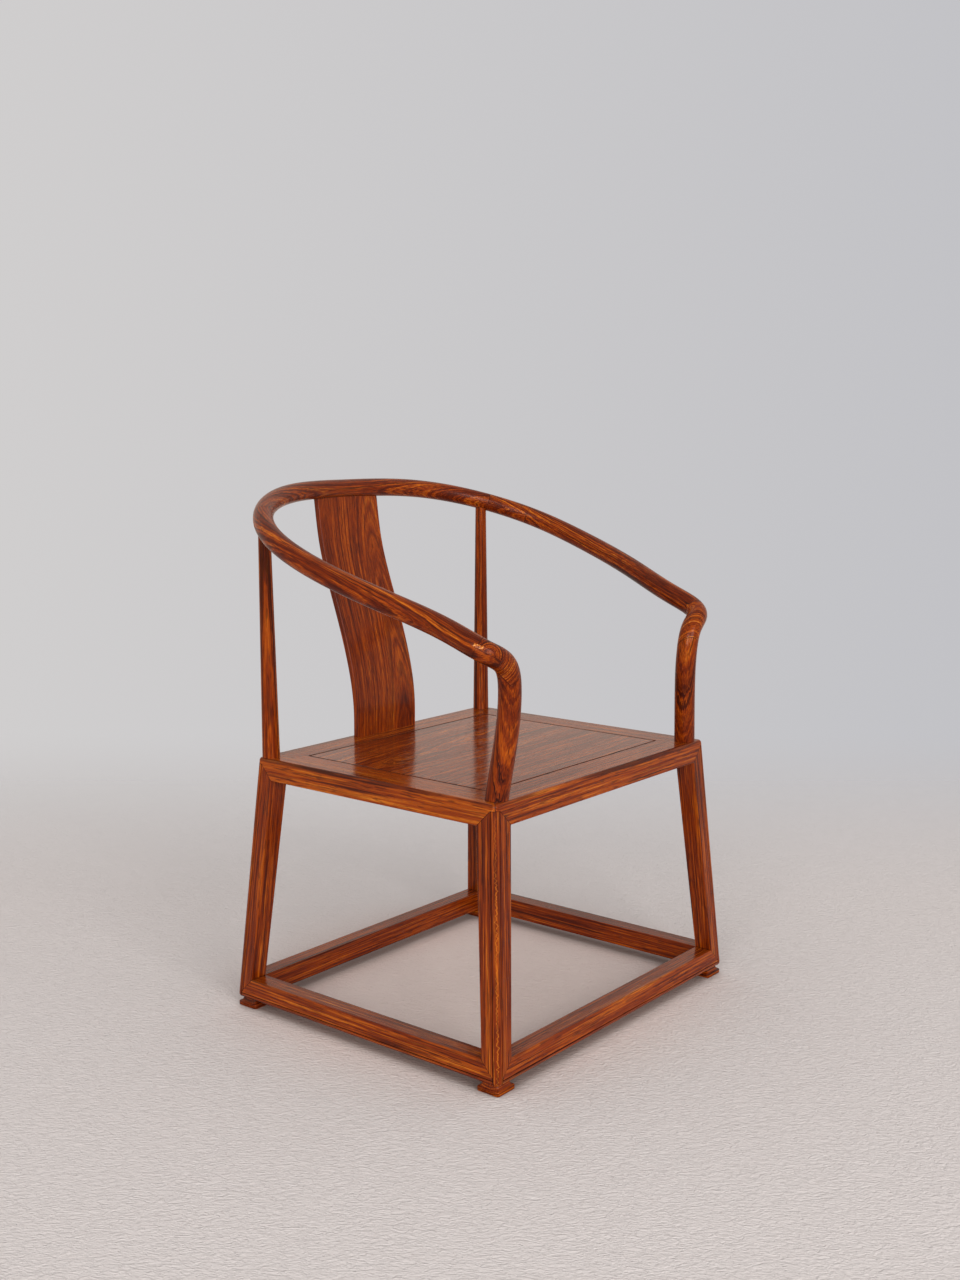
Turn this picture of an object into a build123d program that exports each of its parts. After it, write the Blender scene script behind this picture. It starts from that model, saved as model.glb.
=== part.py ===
"""Horseshoe back armchair: a splayed, mitred hardwood frame below a curved back and arm rail.

Frame: +Z up, the sitter faces -Y, and the sitter's left is +X. The origin is on the floor, midway
between the front of the base and the back of the crest. All sizes are millimetres.
"""
import os

from build123d import *

# ---------------------------------------------------------------- driving sizes
# Seat and floor frame
SEAT_HEIGHT = 442.5        # top of the seat
SEAT_HALF_WIDTH = 303.0    # middle to the outer face of a side seat rail, at the top
SEAT_HALF_DEPTH = 260.5    # middle to the outer face of the front seat rail, at the top
SPLAY = 32.0               # how far each leg stands out at the foot of the base rail, both ways
SEAT_RAIL_HEIGHT = 37.0
SEAT_RAIL_WIDTH = 61.0
BASE_RAIL_HEIGHT = 37.0
BASE_RAIL_WIDTH = 36.0
LEG_TOP_WIDTH = 38.5
LEG_FOOT_WIDTH = 33.0
LEG_CORNER_RADIUS = 9.0    # rounded outer arris of each leg
SEAT_EDGE_RADIUS = 5.0     # rounded top outer arris of the seat rails
BASE_EDGE_RADIUS = 8.0     # rounded lower outer arris of the base rails
SOFT_EDGE = 1.5            # every other arris

# Feet
FOOT_HEIGHT = 14.5
FOOT_WIDTH = 43.0
FOOT_INSET = 2.0           # outer face of the foot behind the outer face of the base rail
FOOT_PAD_HEIGHT = 7.5
FOOT_CORNER = 4.0          # radius of its upright arrises
FOOT_NECK_WIDTH = 31.0     # under the base rails
FOOT_NECK_FOOT = 38.0      # on the pad
FOOT_GROOVE = 1.2          # height and depth of the two grooves round the pad

# Seat panel and its battens
PANEL_THICKNESS = 12.0
PANEL_GAP = 0.7            # open line between the panel and the rails
TONGUE_THICKNESS = 6.0
TONGUE_LENGTH = 8.0
TONGUE_DEPTH = 5.0         # top of the seat to the top of the tongue
BATTEN_X = 110.0           # middle of the seat to the middle of a batten
BATTEN_WIDTH = 34.0
BATTEN_HEIGHT = 18.0       # below the underside of the panel
BATTEN_KEY = 4.0           # height of the dovetail let into the panel
BATTEN_KEY_TOP = 26.0
BATTEN_KEY_NECK = 20.0
BATTEN_TENON_HEIGHT = 12.0
BATTEN_TENON_WIDTH = 24.0
BATTEN_TENON_LENGTH = 14.0

# Curved back and arm rail, measured to the middle of its round section
RAIL_DIAMETER = 35.0
CREST_HEIGHT = 890.5       # at the middle of the back
CREST_BACK = 339.0         # behind the middle of the seat
SHOULDER_HEIGHT = 860.0    # above a back post
ARM_SPREAD = 366.0         # beside the middle of the chair, where the arms are widest
ARM_HEIGHT = 697.0         # where an arm nears its elbow
ELBOW_OUT = 42.5           # the same place, outside the front post's foot
ELBOW_BEHIND = 49.5        # and behind it
# Where the rail passes between those places: its share of the spread, of the way forward
# from the back, and of the fall from crest to arm.
BACK_STATIONS = ((0.486, 0.053, 0.031),)
ARM_STATIONS = ((0.959, 0.338, 0.333), (1.0, 0.537, 0.540), (0.937, 0.792, 0.786))
# Where the elbow passes, from the front post's foot and from the height of the arm
ELBOW_STATIONS = ((27.5, -4.5, -26.0), (-3.5, -12.5, -46.0), (-17.0, -11.5, -87.0))
POST_STATION = (-14.7, -7.5, 0.39)   # lower on the front post, with its share of the rise
POST_FOOT_LEAN = (0.14, 0.067, -1.0)

# Posts
BACK_POST_INSET = 16.5     # axis of a back post's foot behind both outer faces of the seat
BACK_POST_LEAN = 3.0       # how far its head stands out from its foot, both ways
BACK_POST_FOOT = 30.5      # diameter at the seat
BACK_POST_HEAD = 20.5      # diameter under the rail
FRONT_POST_INSET_X = 29.5
FRONT_POST_INSET_Y = 21.0

# Splat
SPLAT_WIDTH = 158.0
SPLAT_THICKNESS = 11.0
SPLAT_FOOT_INSET = 18.0    # middle of the splat's foot in front of the seat's back face
# Places on the splat's curve: its share of the lean to the back, and of the rise to the rail
SPLAT_STATIONS = ((0.0, 0.11), (0.187, 0.335), (0.527, 0.558), (0.851, 0.781))

# Joinery
FIT = 0.15                 # gap all round a tenon, tongue, pin or dowel
END_GAP = 1.0              # gap past the end of a tenon
SHOULDER_GAP = 0.1         # gap between a hollow shoulder and the round rail it meets
LEG_TENON = 12.0           # square tenon at each end of a leg
SEAT_LEG_TENON_INSET = 22.5  # its middle behind both outer faces of the seat
SEAT_LEG_TENON_DROP = 21.0   # seat top to the end of the tenon
BASE_LEG_TENON_INSET = 19.0  # its middle behind both outer faces of the base
BASE_LEG_TENON_RISE = 16.0   # base underside to the end of the tenon
RAIL_TENON_THICKNESS = 5.0
RAIL_TENON_HEIGHT = 10.0
RAIL_TENON_END = 9.0         # end of the tenon behind the other rail's outer face
SEAT_RAIL_TENON_INSET = 32.5
SEAT_RAIL_TENON_DROP = 9.5   # seat top to the middle of the tenon
BASE_RAIL_TENON_INSET = 31.5
BASE_RAIL_TENON_RISE = 19.0  # base underside to the middle of the tenon
POST_TENON = 14.0          # diameter of the posts' lower tenons
POST_TENON_DEPTH = 17.0
HEAD_TENON = 10.0          # diameter of the back posts' upper tenons
ELBOW_TENON = 11.0
ELBOW_TENON_HEIGHT = 23.0    # above the point of the V shoulder
FOOT_DOWEL = 10.0
FOOT_DOWEL_DEPTH = 12.0
SPLAT_TENON_THICKNESS = 6.0
SPLAT_TENON_MARGIN = 26.0    # side of the splat to the side of its lower tenon
SPLAT_TENON_DEPTH = 14.0
SPLAT_HEAD_WIDTH = 90.0      # of its upper tenon
SPLAT_HEAD_DROP = 8.0        # middle of the rail to the end of the upper tenon
BACK_SCARF_LENGTH = 84.0
BACK_SCARF_START = 14.0      # back post axis to the first butt of the scarf, along the rail
ELBOW_SCARF_LENGTH = 32.0
PIN_LENGTH = 11.0          # of a scarf pin, along the rail
PIN_HEIGHT = 5.0
PIN_TAPER = 1.0              # how much narrower the pin's inner end is
ELBOW_PIN_SHIFT = 8.0        # middle of the elbow scarf back to the pin
SHOULDER_TIP_DROP = 78.0     # arm height to the point of the V shoulder on the front post
SHOULDER_HALF_WIDTH = 19.0
SHOULDER_RISE = 20.0

# ---------------------------------------------------------------- sizes that follow
SIDES = (-1, 1)
RAIL_RADIUS = RAIL_DIAMETER / 2
BASE_HALF_WIDTH = SEAT_HALF_WIDTH + SPLAY
BASE_HALF_DEPTH = SEAT_HALF_DEPTH + SPLAY
FRAME_HEIGHT = SEAT_HEIGHT - FOOT_HEIGHT
SLOPE = SPLAY / FRAME_HEIGHT
SEAT_UNDERSIDE = SEAT_HEIGHT - SEAT_RAIL_HEIGHT
BASE_TOP = FOOT_HEIGHT + BASE_RAIL_HEIGHT
PANEL_HALF_WIDTH = SEAT_HALF_WIDTH - SEAT_RAIL_WIDTH
PANEL_HALF_DEPTH = SEAT_HALF_DEPTH - SEAT_RAIL_WIDTH
PANEL_UNDERSIDE = SEAT_HEIGHT - PANEL_THICKNESS
TONGUE_HEIGHT = SEAT_HEIGHT - TONGUE_DEPTH - TONGUE_THICKNESS / 2
GROOVE_DEPTH = TONGUE_LENGTH + END_GAP
BACK_POST_X = SEAT_HALF_WIDTH - BACK_POST_INSET
BACK_POST_Y = SEAT_HALF_DEPTH - BACK_POST_INSET
BACK_HEAD_X = BACK_POST_X + BACK_POST_LEAN
BACK_HEAD_Y = BACK_POST_Y + BACK_POST_LEAN
FRONT_POST_X = SEAT_HALF_WIDTH - FRONT_POST_INSET_X
FRONT_POST_Y = FRONT_POST_INSET_Y - SEAT_HALF_DEPTH
SHOULDER_X = FRONT_POST_X + ELBOW_STATIONS[-1][0]
SHOULDER_Y = FRONT_POST_Y + ELBOW_STATIONS[-1][1]
SHOULDER_TIP = ARM_HEIGHT - SHOULDER_TIP_DROP
FOOT_X = BASE_HALF_WIDTH - FOOT_INSET - FOOT_WIDTH / 2
FOOT_Y = BASE_HALF_DEPTH - FOOT_INSET - FOOT_WIDTH / 2
SPLAT_Y = SEAT_HALF_DEPTH - SPLAT_FOOT_INSET
REACH = BASE_HALF_WIDTH + BASE_HALF_DEPTH   # further than any cut needs to go
CUT = 3 * SEAT_RAIL_WIDTH                   # half the long side of the wedges that cut mitres

os.makedirs("parts", exist_ok=True)


# ---------------------------------------------------------------- the splayed frame
def half_width(height):
    """Middle of the chair to the outer side face of the frame at a height."""
    return SEAT_HALF_WIDTH + (SEAT_HEIGHT - height) * SLOPE


def half_depth(height):
    """Middle of the chair to the outer front face of the frame at a height."""
    return SEAT_HALF_DEPTH + (SEAT_HEIGHT - height) * SLOPE


def leg_width(height):
    """Width of the square leg at a height."""
    return LEG_FOOT_WIDTH + (LEG_TOP_WIDTH - LEG_FOOT_WIDTH) * (height - FOOT_HEIGHT) / FRAME_HEIGHT


# The members are worked out about the middle of the seat. The chair's own origin lies this far
# behind it, on the floor midway between the front of the base and the back of the crest.
ORIGIN_BEHIND = (CREST_BACK + RAIL_RADIUS - half_depth(FOOT_HEIGHT + BASE_EDGE_RADIUS)) / 2


def save(piece, name):
    """Place one finished piece about the chair's origin, label it and write its STEP file."""
    piece.part = Location((0, -ORIGIN_BEHIND, 0)) * piece.part
    piece.part.label = name
    export_step(piece.part, f"parts/{name}.step")


# Run of each face mitre for one unit of fall: it ends where leg and rail meet inside.
SEAT_MITRE = leg_width(SEAT_UNDERSIDE) / SEAT_RAIL_HEIGHT - SLOPE
BASE_MITRE = leg_width(BASE_TOP) / BASE_RAIL_HEIGHT + SLOPE

# The rounded block that all twelve members of the frame are cut from
with BuildPart() as envelope:
    with BuildSketch(Plane.XY.offset(FOOT_HEIGHT)):
        Rectangle(2 * BASE_HALF_WIDTH, 2 * BASE_HALF_DEPTH)
    with BuildSketch(Plane.XY.offset(SEAT_HEIGHT)):
        Rectangle(2 * SEAT_HALF_WIDTH, 2 * SEAT_HALF_DEPTH)
    loft()
    fillet(envelope.edges().group_by(Axis.Z)[1], LEG_CORNER_RADIUS)
    fillet(envelope.faces().sort_by(Axis.Z)[-1].edges(), SEAT_EDGE_RADIUS)
    fillet(envelope.faces().sort_by(Axis.Z)[0].edges(), BASE_EDGE_RADIUS)


def wedge(plane, corner, along, side):
    """A triangle with one edge through the corner, that lies to one side of that edge."""
    with BuildSketch(plane) as triangle:
        with BuildLine():
            Polyline(corner + along * CUT, corner - along * CUT, corner + side * CUT, close=True)
        make_face()
    return triangle.sketch


def plan_mitre(sx, sy, half_x, half_y, side):
    """The wedge, seen from above, beyond the diagonal of one corner of the frame."""
    return wedge(Plane.XY, Vector(sx * half_x, sy * half_y), Vector(sx, sy), side)


def seat_mitre(plane, sign, half, part_side):
    """The wedge beyond the mitre of seat rail and leg; part_side is 1 above it and -1 below."""
    return wedge(
        plane,
        Vector(sign * half, SEAT_HEIGHT),
        Vector(sign * SEAT_MITRE, 1),
        Vector(-sign * SEAT_MITRE, 1) * part_side,
    )


def base_mitre(plane, sign, half, part_side):
    """The wedge beyond the mitre of base rail and leg; part_side is 1 above it and -1 below."""
    return wedge(
        plane,
        Vector(sign * half, FOOT_HEIGHT),
        Vector(-sign * BASE_MITRE, 1),
        Vector(sign * BASE_MITRE, 1) * part_side,
    )


def rail_section(plane, sign, outer, inner, bottom, top):
    """Section of a rail, past the envelope outside, with its lower inner arris softened."""
    with BuildSketch(plane) as section:
        with BuildLine():
            Polyline(
                (sign * inner, bottom),
                (sign * (outer + SPLAY), bottom),
                (sign * (outer + SPLAY), top),
                (sign * inner, top),
                close=True,
            )
        make_face()
        fillet(section.vertices().sort_by_distance((sign * inner, bottom))[0], SOFT_EDGE)
    return section.sketch


ALL_CORNERS = [(sx, sy) for sx in SIDES for sy in SIDES]


def upright_box(x, y, height, width, length, end, mode):
    """A square upright box that starts at a height and runs up (Align.MIN) or down (Align.MAX)."""
    with Locations((x, y, height)):
        Box(width, width, length, align=(Align.CENTER, Align.CENTER, end), mode=mode)


def upright_hole(x, y, height, diameter, depth, end):
    """A round hole that starts at a height and runs up (Align.MIN) or down (Align.MAX)."""
    with Locations((x, y, height)):
        Cylinder(
            diameter / 2 + FIT,
            depth + END_GAP,
            align=(Align.CENTER, Align.CENTER, end),
            mode=Mode.SUBTRACT,
        )


def cut_post_holes():
    """Round mortises in the seat corners for the lower tenons of the four posts."""
    for sx in SIDES:
        for x, y in ((FRONT_POST_X, FRONT_POST_Y), (BACK_POST_X, BACK_POST_Y)):
            upright_hole(sx * x, y, SEAT_HEIGHT, POST_TENON, POST_TENON_DEPTH, Align.MAX)


def cut_seat_corners():
    """Mortises in the seat for the legs' upper tenons and the posts' lower tenons."""
    for sx, sy in ALL_CORNERS:
        x = sx * (SEAT_HALF_WIDTH - SEAT_LEG_TENON_INSET)
        y = sy * (SEAT_HALF_DEPTH - SEAT_LEG_TENON_INSET)
        top = SEAT_HEIGHT - SEAT_LEG_TENON_DROP + END_GAP
        width = LEG_TENON + 2 * FIT
        upright_box(x, y, top, width, SEAT_RAIL_HEIGHT, Align.MAX, Mode.SUBTRACT)
    cut_post_holes()


def cut_base_corners():
    """Mortises in the base for the legs' lower tenons, and the feet's dowel holes."""
    for sx, sy in ALL_CORNERS:
        x = sx * (BASE_HALF_WIDTH - BASE_LEG_TENON_INSET)
        y = sy * (BASE_HALF_DEPTH - BASE_LEG_TENON_INSET)
        bottom = FOOT_HEIGHT + BASE_LEG_TENON_RISE - END_GAP
        width = LEG_TENON + 2 * FIT
        upright_box(x, y, bottom, width, BASE_RAIL_HEIGHT, Align.MIN, Mode.SUBTRACT)
        upright_hole(sx * FOOT_X, sy * FOOT_Y, FOOT_HEIGHT, FOOT_DOWEL, FOOT_DOWEL_DEPTH, Align.MIN)


def rail_tenons(corners, half_x, half_y, inset, height, gap, mode):
    """Tenons that front and back rails pass into side rails, or with a gap their mortises."""
    for sx, sy in corners:
        with Locations((sx * (half_x - RAIL_TENON_END + gap), sy * (half_y - inset), height)):
            Box(
                inset + RAIL_TENON_THICKNESS - RAIL_TENON_END + gap,
                RAIL_TENON_THICKNESS + 2 * gap,
                RAIL_TENON_HEIGHT + 2 * gap,
                align=(Align.MAX if sx > 0 else Align.MIN, Align.CENTER, Align.CENTER),
                mode=mode,
            )


def cut_panel_groove():
    """The groove that runs round the inside of the seat rails for the panel's tongue."""
    with Locations((0, 0, TONGUE_HEIGHT)):
        Box(
            2 * (PANEL_HALF_WIDTH + GROOVE_DEPTH),
            2 * (PANEL_HALF_DEPTH + GROOVE_DEPTH),
            TONGUE_THICKNESS + 2 * FIT,
            mode=Mode.SUBTRACT,
        )


# ---------------------------------------------------------------- seat rails
SEAT_TENON = (
    SEAT_HALF_WIDTH,
    SEAT_HALF_DEPTH,
    SEAT_RAIL_TENON_INSET,
    SEAT_HEIGHT - SEAT_RAIL_TENON_DROP,
)
BATTEN_TENON_Z = PANEL_UNDERSIDE - BATTEN_HEIGHT / 2

for sy, name in ((-1, "seat_rail_front"), (1, "seat_rail_back")):
    with BuildPart() as seat_rail:
        profile = rail_section(
            Plane.YZ, sy, SEAT_HALF_DEPTH, PANEL_HALF_DEPTH, SEAT_UNDERSIDE, SEAT_HEIGHT
        )
        extrude(profile, amount=BASE_HALF_WIDTH, both=True)
        for sx in SIDES:
            beyond = plan_mitre(sx, sy, SEAT_HALF_WIDTH, SEAT_HALF_DEPTH, Vector(sx, -sy))
            extrude(beyond, amount=REACH, both=True, mode=Mode.SUBTRACT)
            below = seat_mitre(Plane.XZ, sx, SEAT_HALF_WIDTH, -1)
            extrude(below, amount=REACH, both=True, mode=Mode.SUBTRACT)
        add(envelope.part, mode=Mode.INTERSECT)
        rail_tenons([(-1, sy), (1, sy)], *SEAT_TENON, 0, Mode.ADD)
        cut_seat_corners()
        cut_panel_groove()
        for sx in SIDES:
            with Locations((sx * BATTEN_X, sy * PANEL_HALF_DEPTH, BATTEN_TENON_Z)):
                Box(
                    BATTEN_TENON_WIDTH + 2 * FIT,
                    2 * (BATTEN_TENON_LENGTH + END_GAP),
                    BATTEN_TENON_HEIGHT + 2 * FIT,
                    mode=Mode.SUBTRACT,
                )
        if sy > 0:
            with Locations((0, SPLAT_Y, SEAT_HEIGHT)):
                Box(
                    SPLAT_WIDTH - 2 * SPLAT_TENON_MARGIN + 2 * FIT,
                    SPLAT_TENON_THICKNESS + 2 * FIT,
                    2 * (SPLAT_TENON_DEPTH + END_GAP),
                    mode=Mode.SUBTRACT,
                )
    save(seat_rail, name)

for sx, name in ((-1, "seat_rail_right"), (1, "seat_rail_left")):
    with BuildPart() as seat_rail:
        profile = rail_section(
            Plane.XZ, sx, SEAT_HALF_WIDTH, PANEL_HALF_WIDTH, SEAT_UNDERSIDE, SEAT_HEIGHT
        )
        extrude(profile, amount=BASE_HALF_DEPTH, both=True)
        for sy in SIDES:
            beyond = plan_mitre(sx, sy, SEAT_HALF_WIDTH, SEAT_HALF_DEPTH, Vector(-sx, sy))
            extrude(beyond, amount=REACH, both=True, mode=Mode.SUBTRACT)
            below = seat_mitre(Plane.YZ, sy, SEAT_HALF_DEPTH, -1)
            extrude(below, amount=REACH, both=True, mode=Mode.SUBTRACT)
        add(envelope.part, mode=Mode.INTERSECT)
        rail_tenons([(sx, -1), (sx, 1)], *SEAT_TENON, FIT, Mode.SUBTRACT)
        cut_seat_corners()
        cut_panel_groove()
    save(seat_rail, name)

# ---------------------------------------------------------------- base rails
BASE_TENON = (
    BASE_HALF_WIDTH,
    BASE_HALF_DEPTH,
    BASE_RAIL_TENON_INSET,
    FOOT_HEIGHT + BASE_RAIL_TENON_RISE,
)
BASE_INNER_X = BASE_HALF_WIDTH - BASE_RAIL_WIDTH
BASE_INNER_Y = BASE_HALF_DEPTH - BASE_RAIL_WIDTH

for sy, name in ((-1, "base_rail_front"), (1, "base_rail_back")):
    with BuildPart() as base_rail:
        profile = rail_section(Plane.YZ, sy, BASE_HALF_DEPTH, BASE_INNER_Y, FOOT_HEIGHT, BASE_TOP)
        extrude(profile, amount=REACH, both=True)
        for sx in SIDES:
            beyond = plan_mitre(sx, sy, BASE_HALF_WIDTH, BASE_HALF_DEPTH, Vector(sx, -sy))
            extrude(beyond, amount=REACH, both=True, mode=Mode.SUBTRACT)
            above = base_mitre(Plane.XZ, sx, BASE_HALF_WIDTH, 1)
            extrude(above, amount=REACH, both=True, mode=Mode.SUBTRACT)
        add(envelope.part, mode=Mode.INTERSECT)
        rail_tenons([(-1, sy), (1, sy)], *BASE_TENON, 0, Mode.ADD)
        cut_base_corners()
    save(base_rail, name)

for sx, name in ((-1, "base_rail_right"), (1, "base_rail_left")):
    with BuildPart() as base_rail:
        profile = rail_section(Plane.XZ, sx, BASE_HALF_WIDTH, BASE_INNER_X, FOOT_HEIGHT, BASE_TOP)
        extrude(profile, amount=REACH, both=True)
        for sy in SIDES:
            beyond = plan_mitre(sx, sy, BASE_HALF_WIDTH, BASE_HALF_DEPTH, Vector(-sx, sy))
            extrude(beyond, amount=REACH, both=True, mode=Mode.SUBTRACT)
            above = base_mitre(Plane.YZ, sy, BASE_HALF_DEPTH, 1)
            extrude(above, amount=REACH, both=True, mode=Mode.SUBTRACT)
        add(envelope.part, mode=Mode.INTERSECT)
        rail_tenons([(sx, -1), (sx, 1)], *BASE_TENON, FIT, Mode.SUBTRACT)
        cut_base_corners()
    save(base_rail, name)


# ---------------------------------------------------------------- legs
def leg_section(sx, sy, height):
    """Square section of a leg at a height, its three inner arrises softened."""
    width = leg_width(height)
    x = sx * (half_width(height) - width / 2)
    y = sy * (half_depth(height) - width / 2)
    with BuildSketch(Plane.XY.offset(height)) as section:
        with Locations((x, y)):
            Rectangle(width, width)
        outer = (sx * half_width(height), sy * half_depth(height))
        fillet(section.vertices().sort_by_distance(outer)[1:], SOFT_EDGE)
    return section.sketch


for sx, side in ((-1, "right"), (1, "left")):
    for sy, end in ((-1, "front"), (1, "back")):
        with BuildPart() as leg:
            loft([leg_section(sx, sy, FOOT_HEIGHT), leg_section(sx, sy, SEAT_HEIGHT)])
            mitres = (
                seat_mitre(Plane.XZ, sx, SEAT_HALF_WIDTH, 1),
                seat_mitre(Plane.YZ, sy, SEAT_HALF_DEPTH, 1),
                base_mitre(Plane.XZ, sx, BASE_HALF_WIDTH, -1),
                base_mitre(Plane.YZ, sy, BASE_HALF_DEPTH, -1),
            )
            for beyond in mitres:
                extrude(beyond, amount=REACH, both=True, mode=Mode.SUBTRACT)
            add(envelope.part, mode=Mode.INTERSECT)
            upright_box(
                sx * (SEAT_HALF_WIDTH - SEAT_LEG_TENON_INSET),
                sy * (SEAT_HALF_DEPTH - SEAT_LEG_TENON_INSET),
                SEAT_HEIGHT - SEAT_LEG_TENON_DROP,
                LEG_TENON,
                SEAT_RAIL_HEIGHT / 2,
                Align.MAX,
                Mode.ADD,
            )
            upright_box(
                sx * (BASE_HALF_WIDTH - BASE_LEG_TENON_INSET),
                sy * (BASE_HALF_DEPTH - BASE_LEG_TENON_INSET),
                FOOT_HEIGHT + BASE_LEG_TENON_RISE,
                LEG_TENON,
                BASE_RAIL_HEIGHT / 2,
                Align.MIN,
                Mode.ADD,
            )
            cut_post_holes()
            upright_hole(sx * FOOT_X, sy * FOOT_Y, FOOT_HEIGHT, FOOT_DOWEL, FOOT_DOWEL_DEPTH, Align.MIN)
        save(leg, f"leg_{end}_{side}")

# ---------------------------------------------------------------- feet
for sx, side in ((-1, "right"), (1, "left")):
    for sy, end in ((-1, "front"), (1, "back")):
        with BuildPart() as foot:
            with BuildSketch(Plane((sx * FOOT_X, sy * FOOT_Y, 0))):
                RectangleRounded(FOOT_WIDTH, FOOT_WIDTH, FOOT_CORNER)
            extrude(amount=FOOT_PAD_HEIGHT)
            fillet(foot.faces().sort_by(Axis.Z)[-1].edges(), FOOT_GROOVE)
            for share in (1 / 3, 2 / 3):
                with BuildSketch(Plane((sx * FOOT_X, sy * FOOT_Y, FOOT_PAD_HEIGHT * share))):
                    RectangleRounded(FOOT_WIDTH, FOOT_WIDTH, FOOT_CORNER)
                    offset(amount=-FOOT_GROOVE, mode=Mode.SUBTRACT)
                extrude(amount=FOOT_GROOVE / 2, both=True, mode=Mode.SUBTRACT)
            with BuildSketch(Plane((sx * FOOT_X, sy * FOOT_Y, FOOT_PAD_HEIGHT))):
                RectangleRounded(FOOT_NECK_FOOT, FOOT_NECK_FOOT, FOOT_CORNER)
            with BuildSketch(Plane((sx * FOOT_X, sy * FOOT_Y, FOOT_HEIGHT))):
                RectangleRounded(FOOT_NECK_WIDTH, FOOT_NECK_WIDTH, FOOT_CORNER)
            loft()
            with Locations((sx * FOOT_X, sy * FOOT_Y, FOOT_HEIGHT)):
                Cylinder(
                    FOOT_DOWEL / 2,
                    FOOT_DOWEL_DEPTH,
                    align=(Align.CENTER, Align.CENTER, Align.MIN),
                )
        save(foot, f"foot_{end}_{side}")

# ---------------------------------------------------------------- seat panel and battens
def batten_key(plane, gap):
    """Dovetail section of a batten's key, from the panel's underside up."""
    with BuildSketch(plane) as key:
        with BuildLine():
            Polyline(
                (-BATTEN_KEY_NECK / 2 - gap, 0),
                (BATTEN_KEY_NECK / 2 + gap, 0),
                (BATTEN_KEY_TOP / 2 + gap, BATTEN_KEY + gap),
                (-BATTEN_KEY_TOP / 2 - gap, BATTEN_KEY + gap),
                close=True,
            )
        make_face()
    return key.sketch


def batten_plane(x):
    """Upright plane across a batten, with its origin on the panel's underside."""
    return Plane(origin=(x, 0, PANEL_UNDERSIDE), x_dir=(1, 0, 0), z_dir=(0, -1, 0))


with BuildPart() as seat_panel:
    with Locations((0, 0, PANEL_UNDERSIDE)):
        Box(
            2 * (PANEL_HALF_WIDTH - PANEL_GAP),
            2 * (PANEL_HALF_DEPTH - PANEL_GAP),
            PANEL_THICKNESS,
            align=(Align.CENTER, Align.CENTER, Align.MIN),
        )
    with Locations((0, 0, TONGUE_HEIGHT)):
        Box(
            2 * (PANEL_HALF_WIDTH + TONGUE_LENGTH),
            2 * (PANEL_HALF_DEPTH + TONGUE_LENGTH),
            TONGUE_THICKNESS,
        )
    for sx in SIDES:
        key = batten_key(batten_plane(sx * BATTEN_X), FIT)
        extrude(key, amount=REACH, both=True, mode=Mode.SUBTRACT)
save(seat_panel, "seat_panel")

for sx, side in ((-1, "right"), (1, "left")):
    with BuildPart() as batten:
        with Locations((sx * BATTEN_X, 0, PANEL_UNDERSIDE)):
            Box(
                BATTEN_WIDTH,
                2 * (PANEL_HALF_DEPTH - FIT),
                BATTEN_HEIGHT,
                align=(Align.CENTER, Align.CENTER, Align.MAX),
            )
        key = batten_key(batten_plane(sx * BATTEN_X), 0)
        extrude(key, amount=PANEL_HALF_DEPTH - PANEL_GAP, both=True)
        with Locations((sx * BATTEN_X, 0, BATTEN_TENON_Z)):
            Box(BATTEN_TENON_WIDTH, 2 * (PANEL_HALF_DEPTH + BATTEN_TENON_LENGTH), BATTEN_TENON_HEIGHT)
    save(batten, f"seat_batten_{side}")


# ---------------------------------------------------------------- the curved rail
def arm_point(share_out, share_forward, share_down):
    """A place on the left half of the rail, by its shares of the spread, the run and the fall."""
    elbow_y = FRONT_POST_Y + ELBOW_BEHIND
    return Vector(
        share_out * ARM_SPREAD,
        CREST_BACK - share_forward * (CREST_BACK - elbow_y),
        CREST_HEIGHT - share_down * (CREST_HEIGHT - ARM_HEIGHT),
    )


ELBOW_POINTS = [
    Vector(FRONT_POST_X + dx, FRONT_POST_Y + dy, ARM_HEIGHT + dz) for dx, dy, dz in ELBOW_STATIONS
]
LEFT_HALF = [
    Vector(0, CREST_BACK, CREST_HEIGHT),
    *[arm_point(*station) for station in BACK_STATIONS],
    Vector(BACK_HEAD_X, BACK_HEAD_Y, SHOULDER_HEIGHT),
    *[arm_point(*station) for station in ARM_STATIONS],
    Vector(FRONT_POST_X + ELBOW_OUT, FRONT_POST_Y + ELBOW_BEHIND, ARM_HEIGHT),
    *ELBOW_POINTS,
    Vector(
        FRONT_POST_X + POST_STATION[0],
        FRONT_POST_Y + POST_STATION[1],
        SEAT_HEIGHT + POST_STATION[2] * (ARM_HEIGHT - SEAT_HEIGHT),
    ),
    Vector(FRONT_POST_X, FRONT_POST_Y, SEAT_HEIGHT),
]


# Middle line of the left half of the rail, from the back's middle to a front post's foot
with BuildLine() as left_half:
    Spline(*LEFT_HALF, tangents=[(1, 0, 0), POST_FOOT_LEAN])
CURVE = left_half.edge()


def curve_share(length):
    """A length along the rail as a share of its half curve."""
    return length / CURVE.length


BACK_SCARF_AT = CURVE.param_at_point(LEFT_HALF[2]) + curve_share(
    BACK_SCARF_START + BACK_SCARF_LENGTH / 2
)
ELBOW_SCARF_AT = CURVE.param_at_point(ELBOW_POINTS[0])
ELBOW_PIN_AT = ELBOW_SCARF_AT - curve_share(ELBOW_PIN_SHIFT)
BACK_LAP = curve_share(BACK_SCARF_LENGTH / 2 + RAIL_DIAMETER / 4)
ELBOW_LAP = curve_share(ELBOW_SCARF_LENGTH / 2 + RAIL_DIAMETER / 4)
PIN_SPAN = curve_share(PIN_LENGTH)


def round_span(start, end, radius=RAIL_RADIUS):
    """The round rail between two shares of its half curve."""
    middle = CURVE.trim(start, end)
    with BuildPart() as span:
        with BuildLine():
            add(middle)
        with BuildSketch(Plane(origin=middle @ 0, z_dir=middle % 0)):
            Circle(radius)
        sweep()
    return span.part


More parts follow.
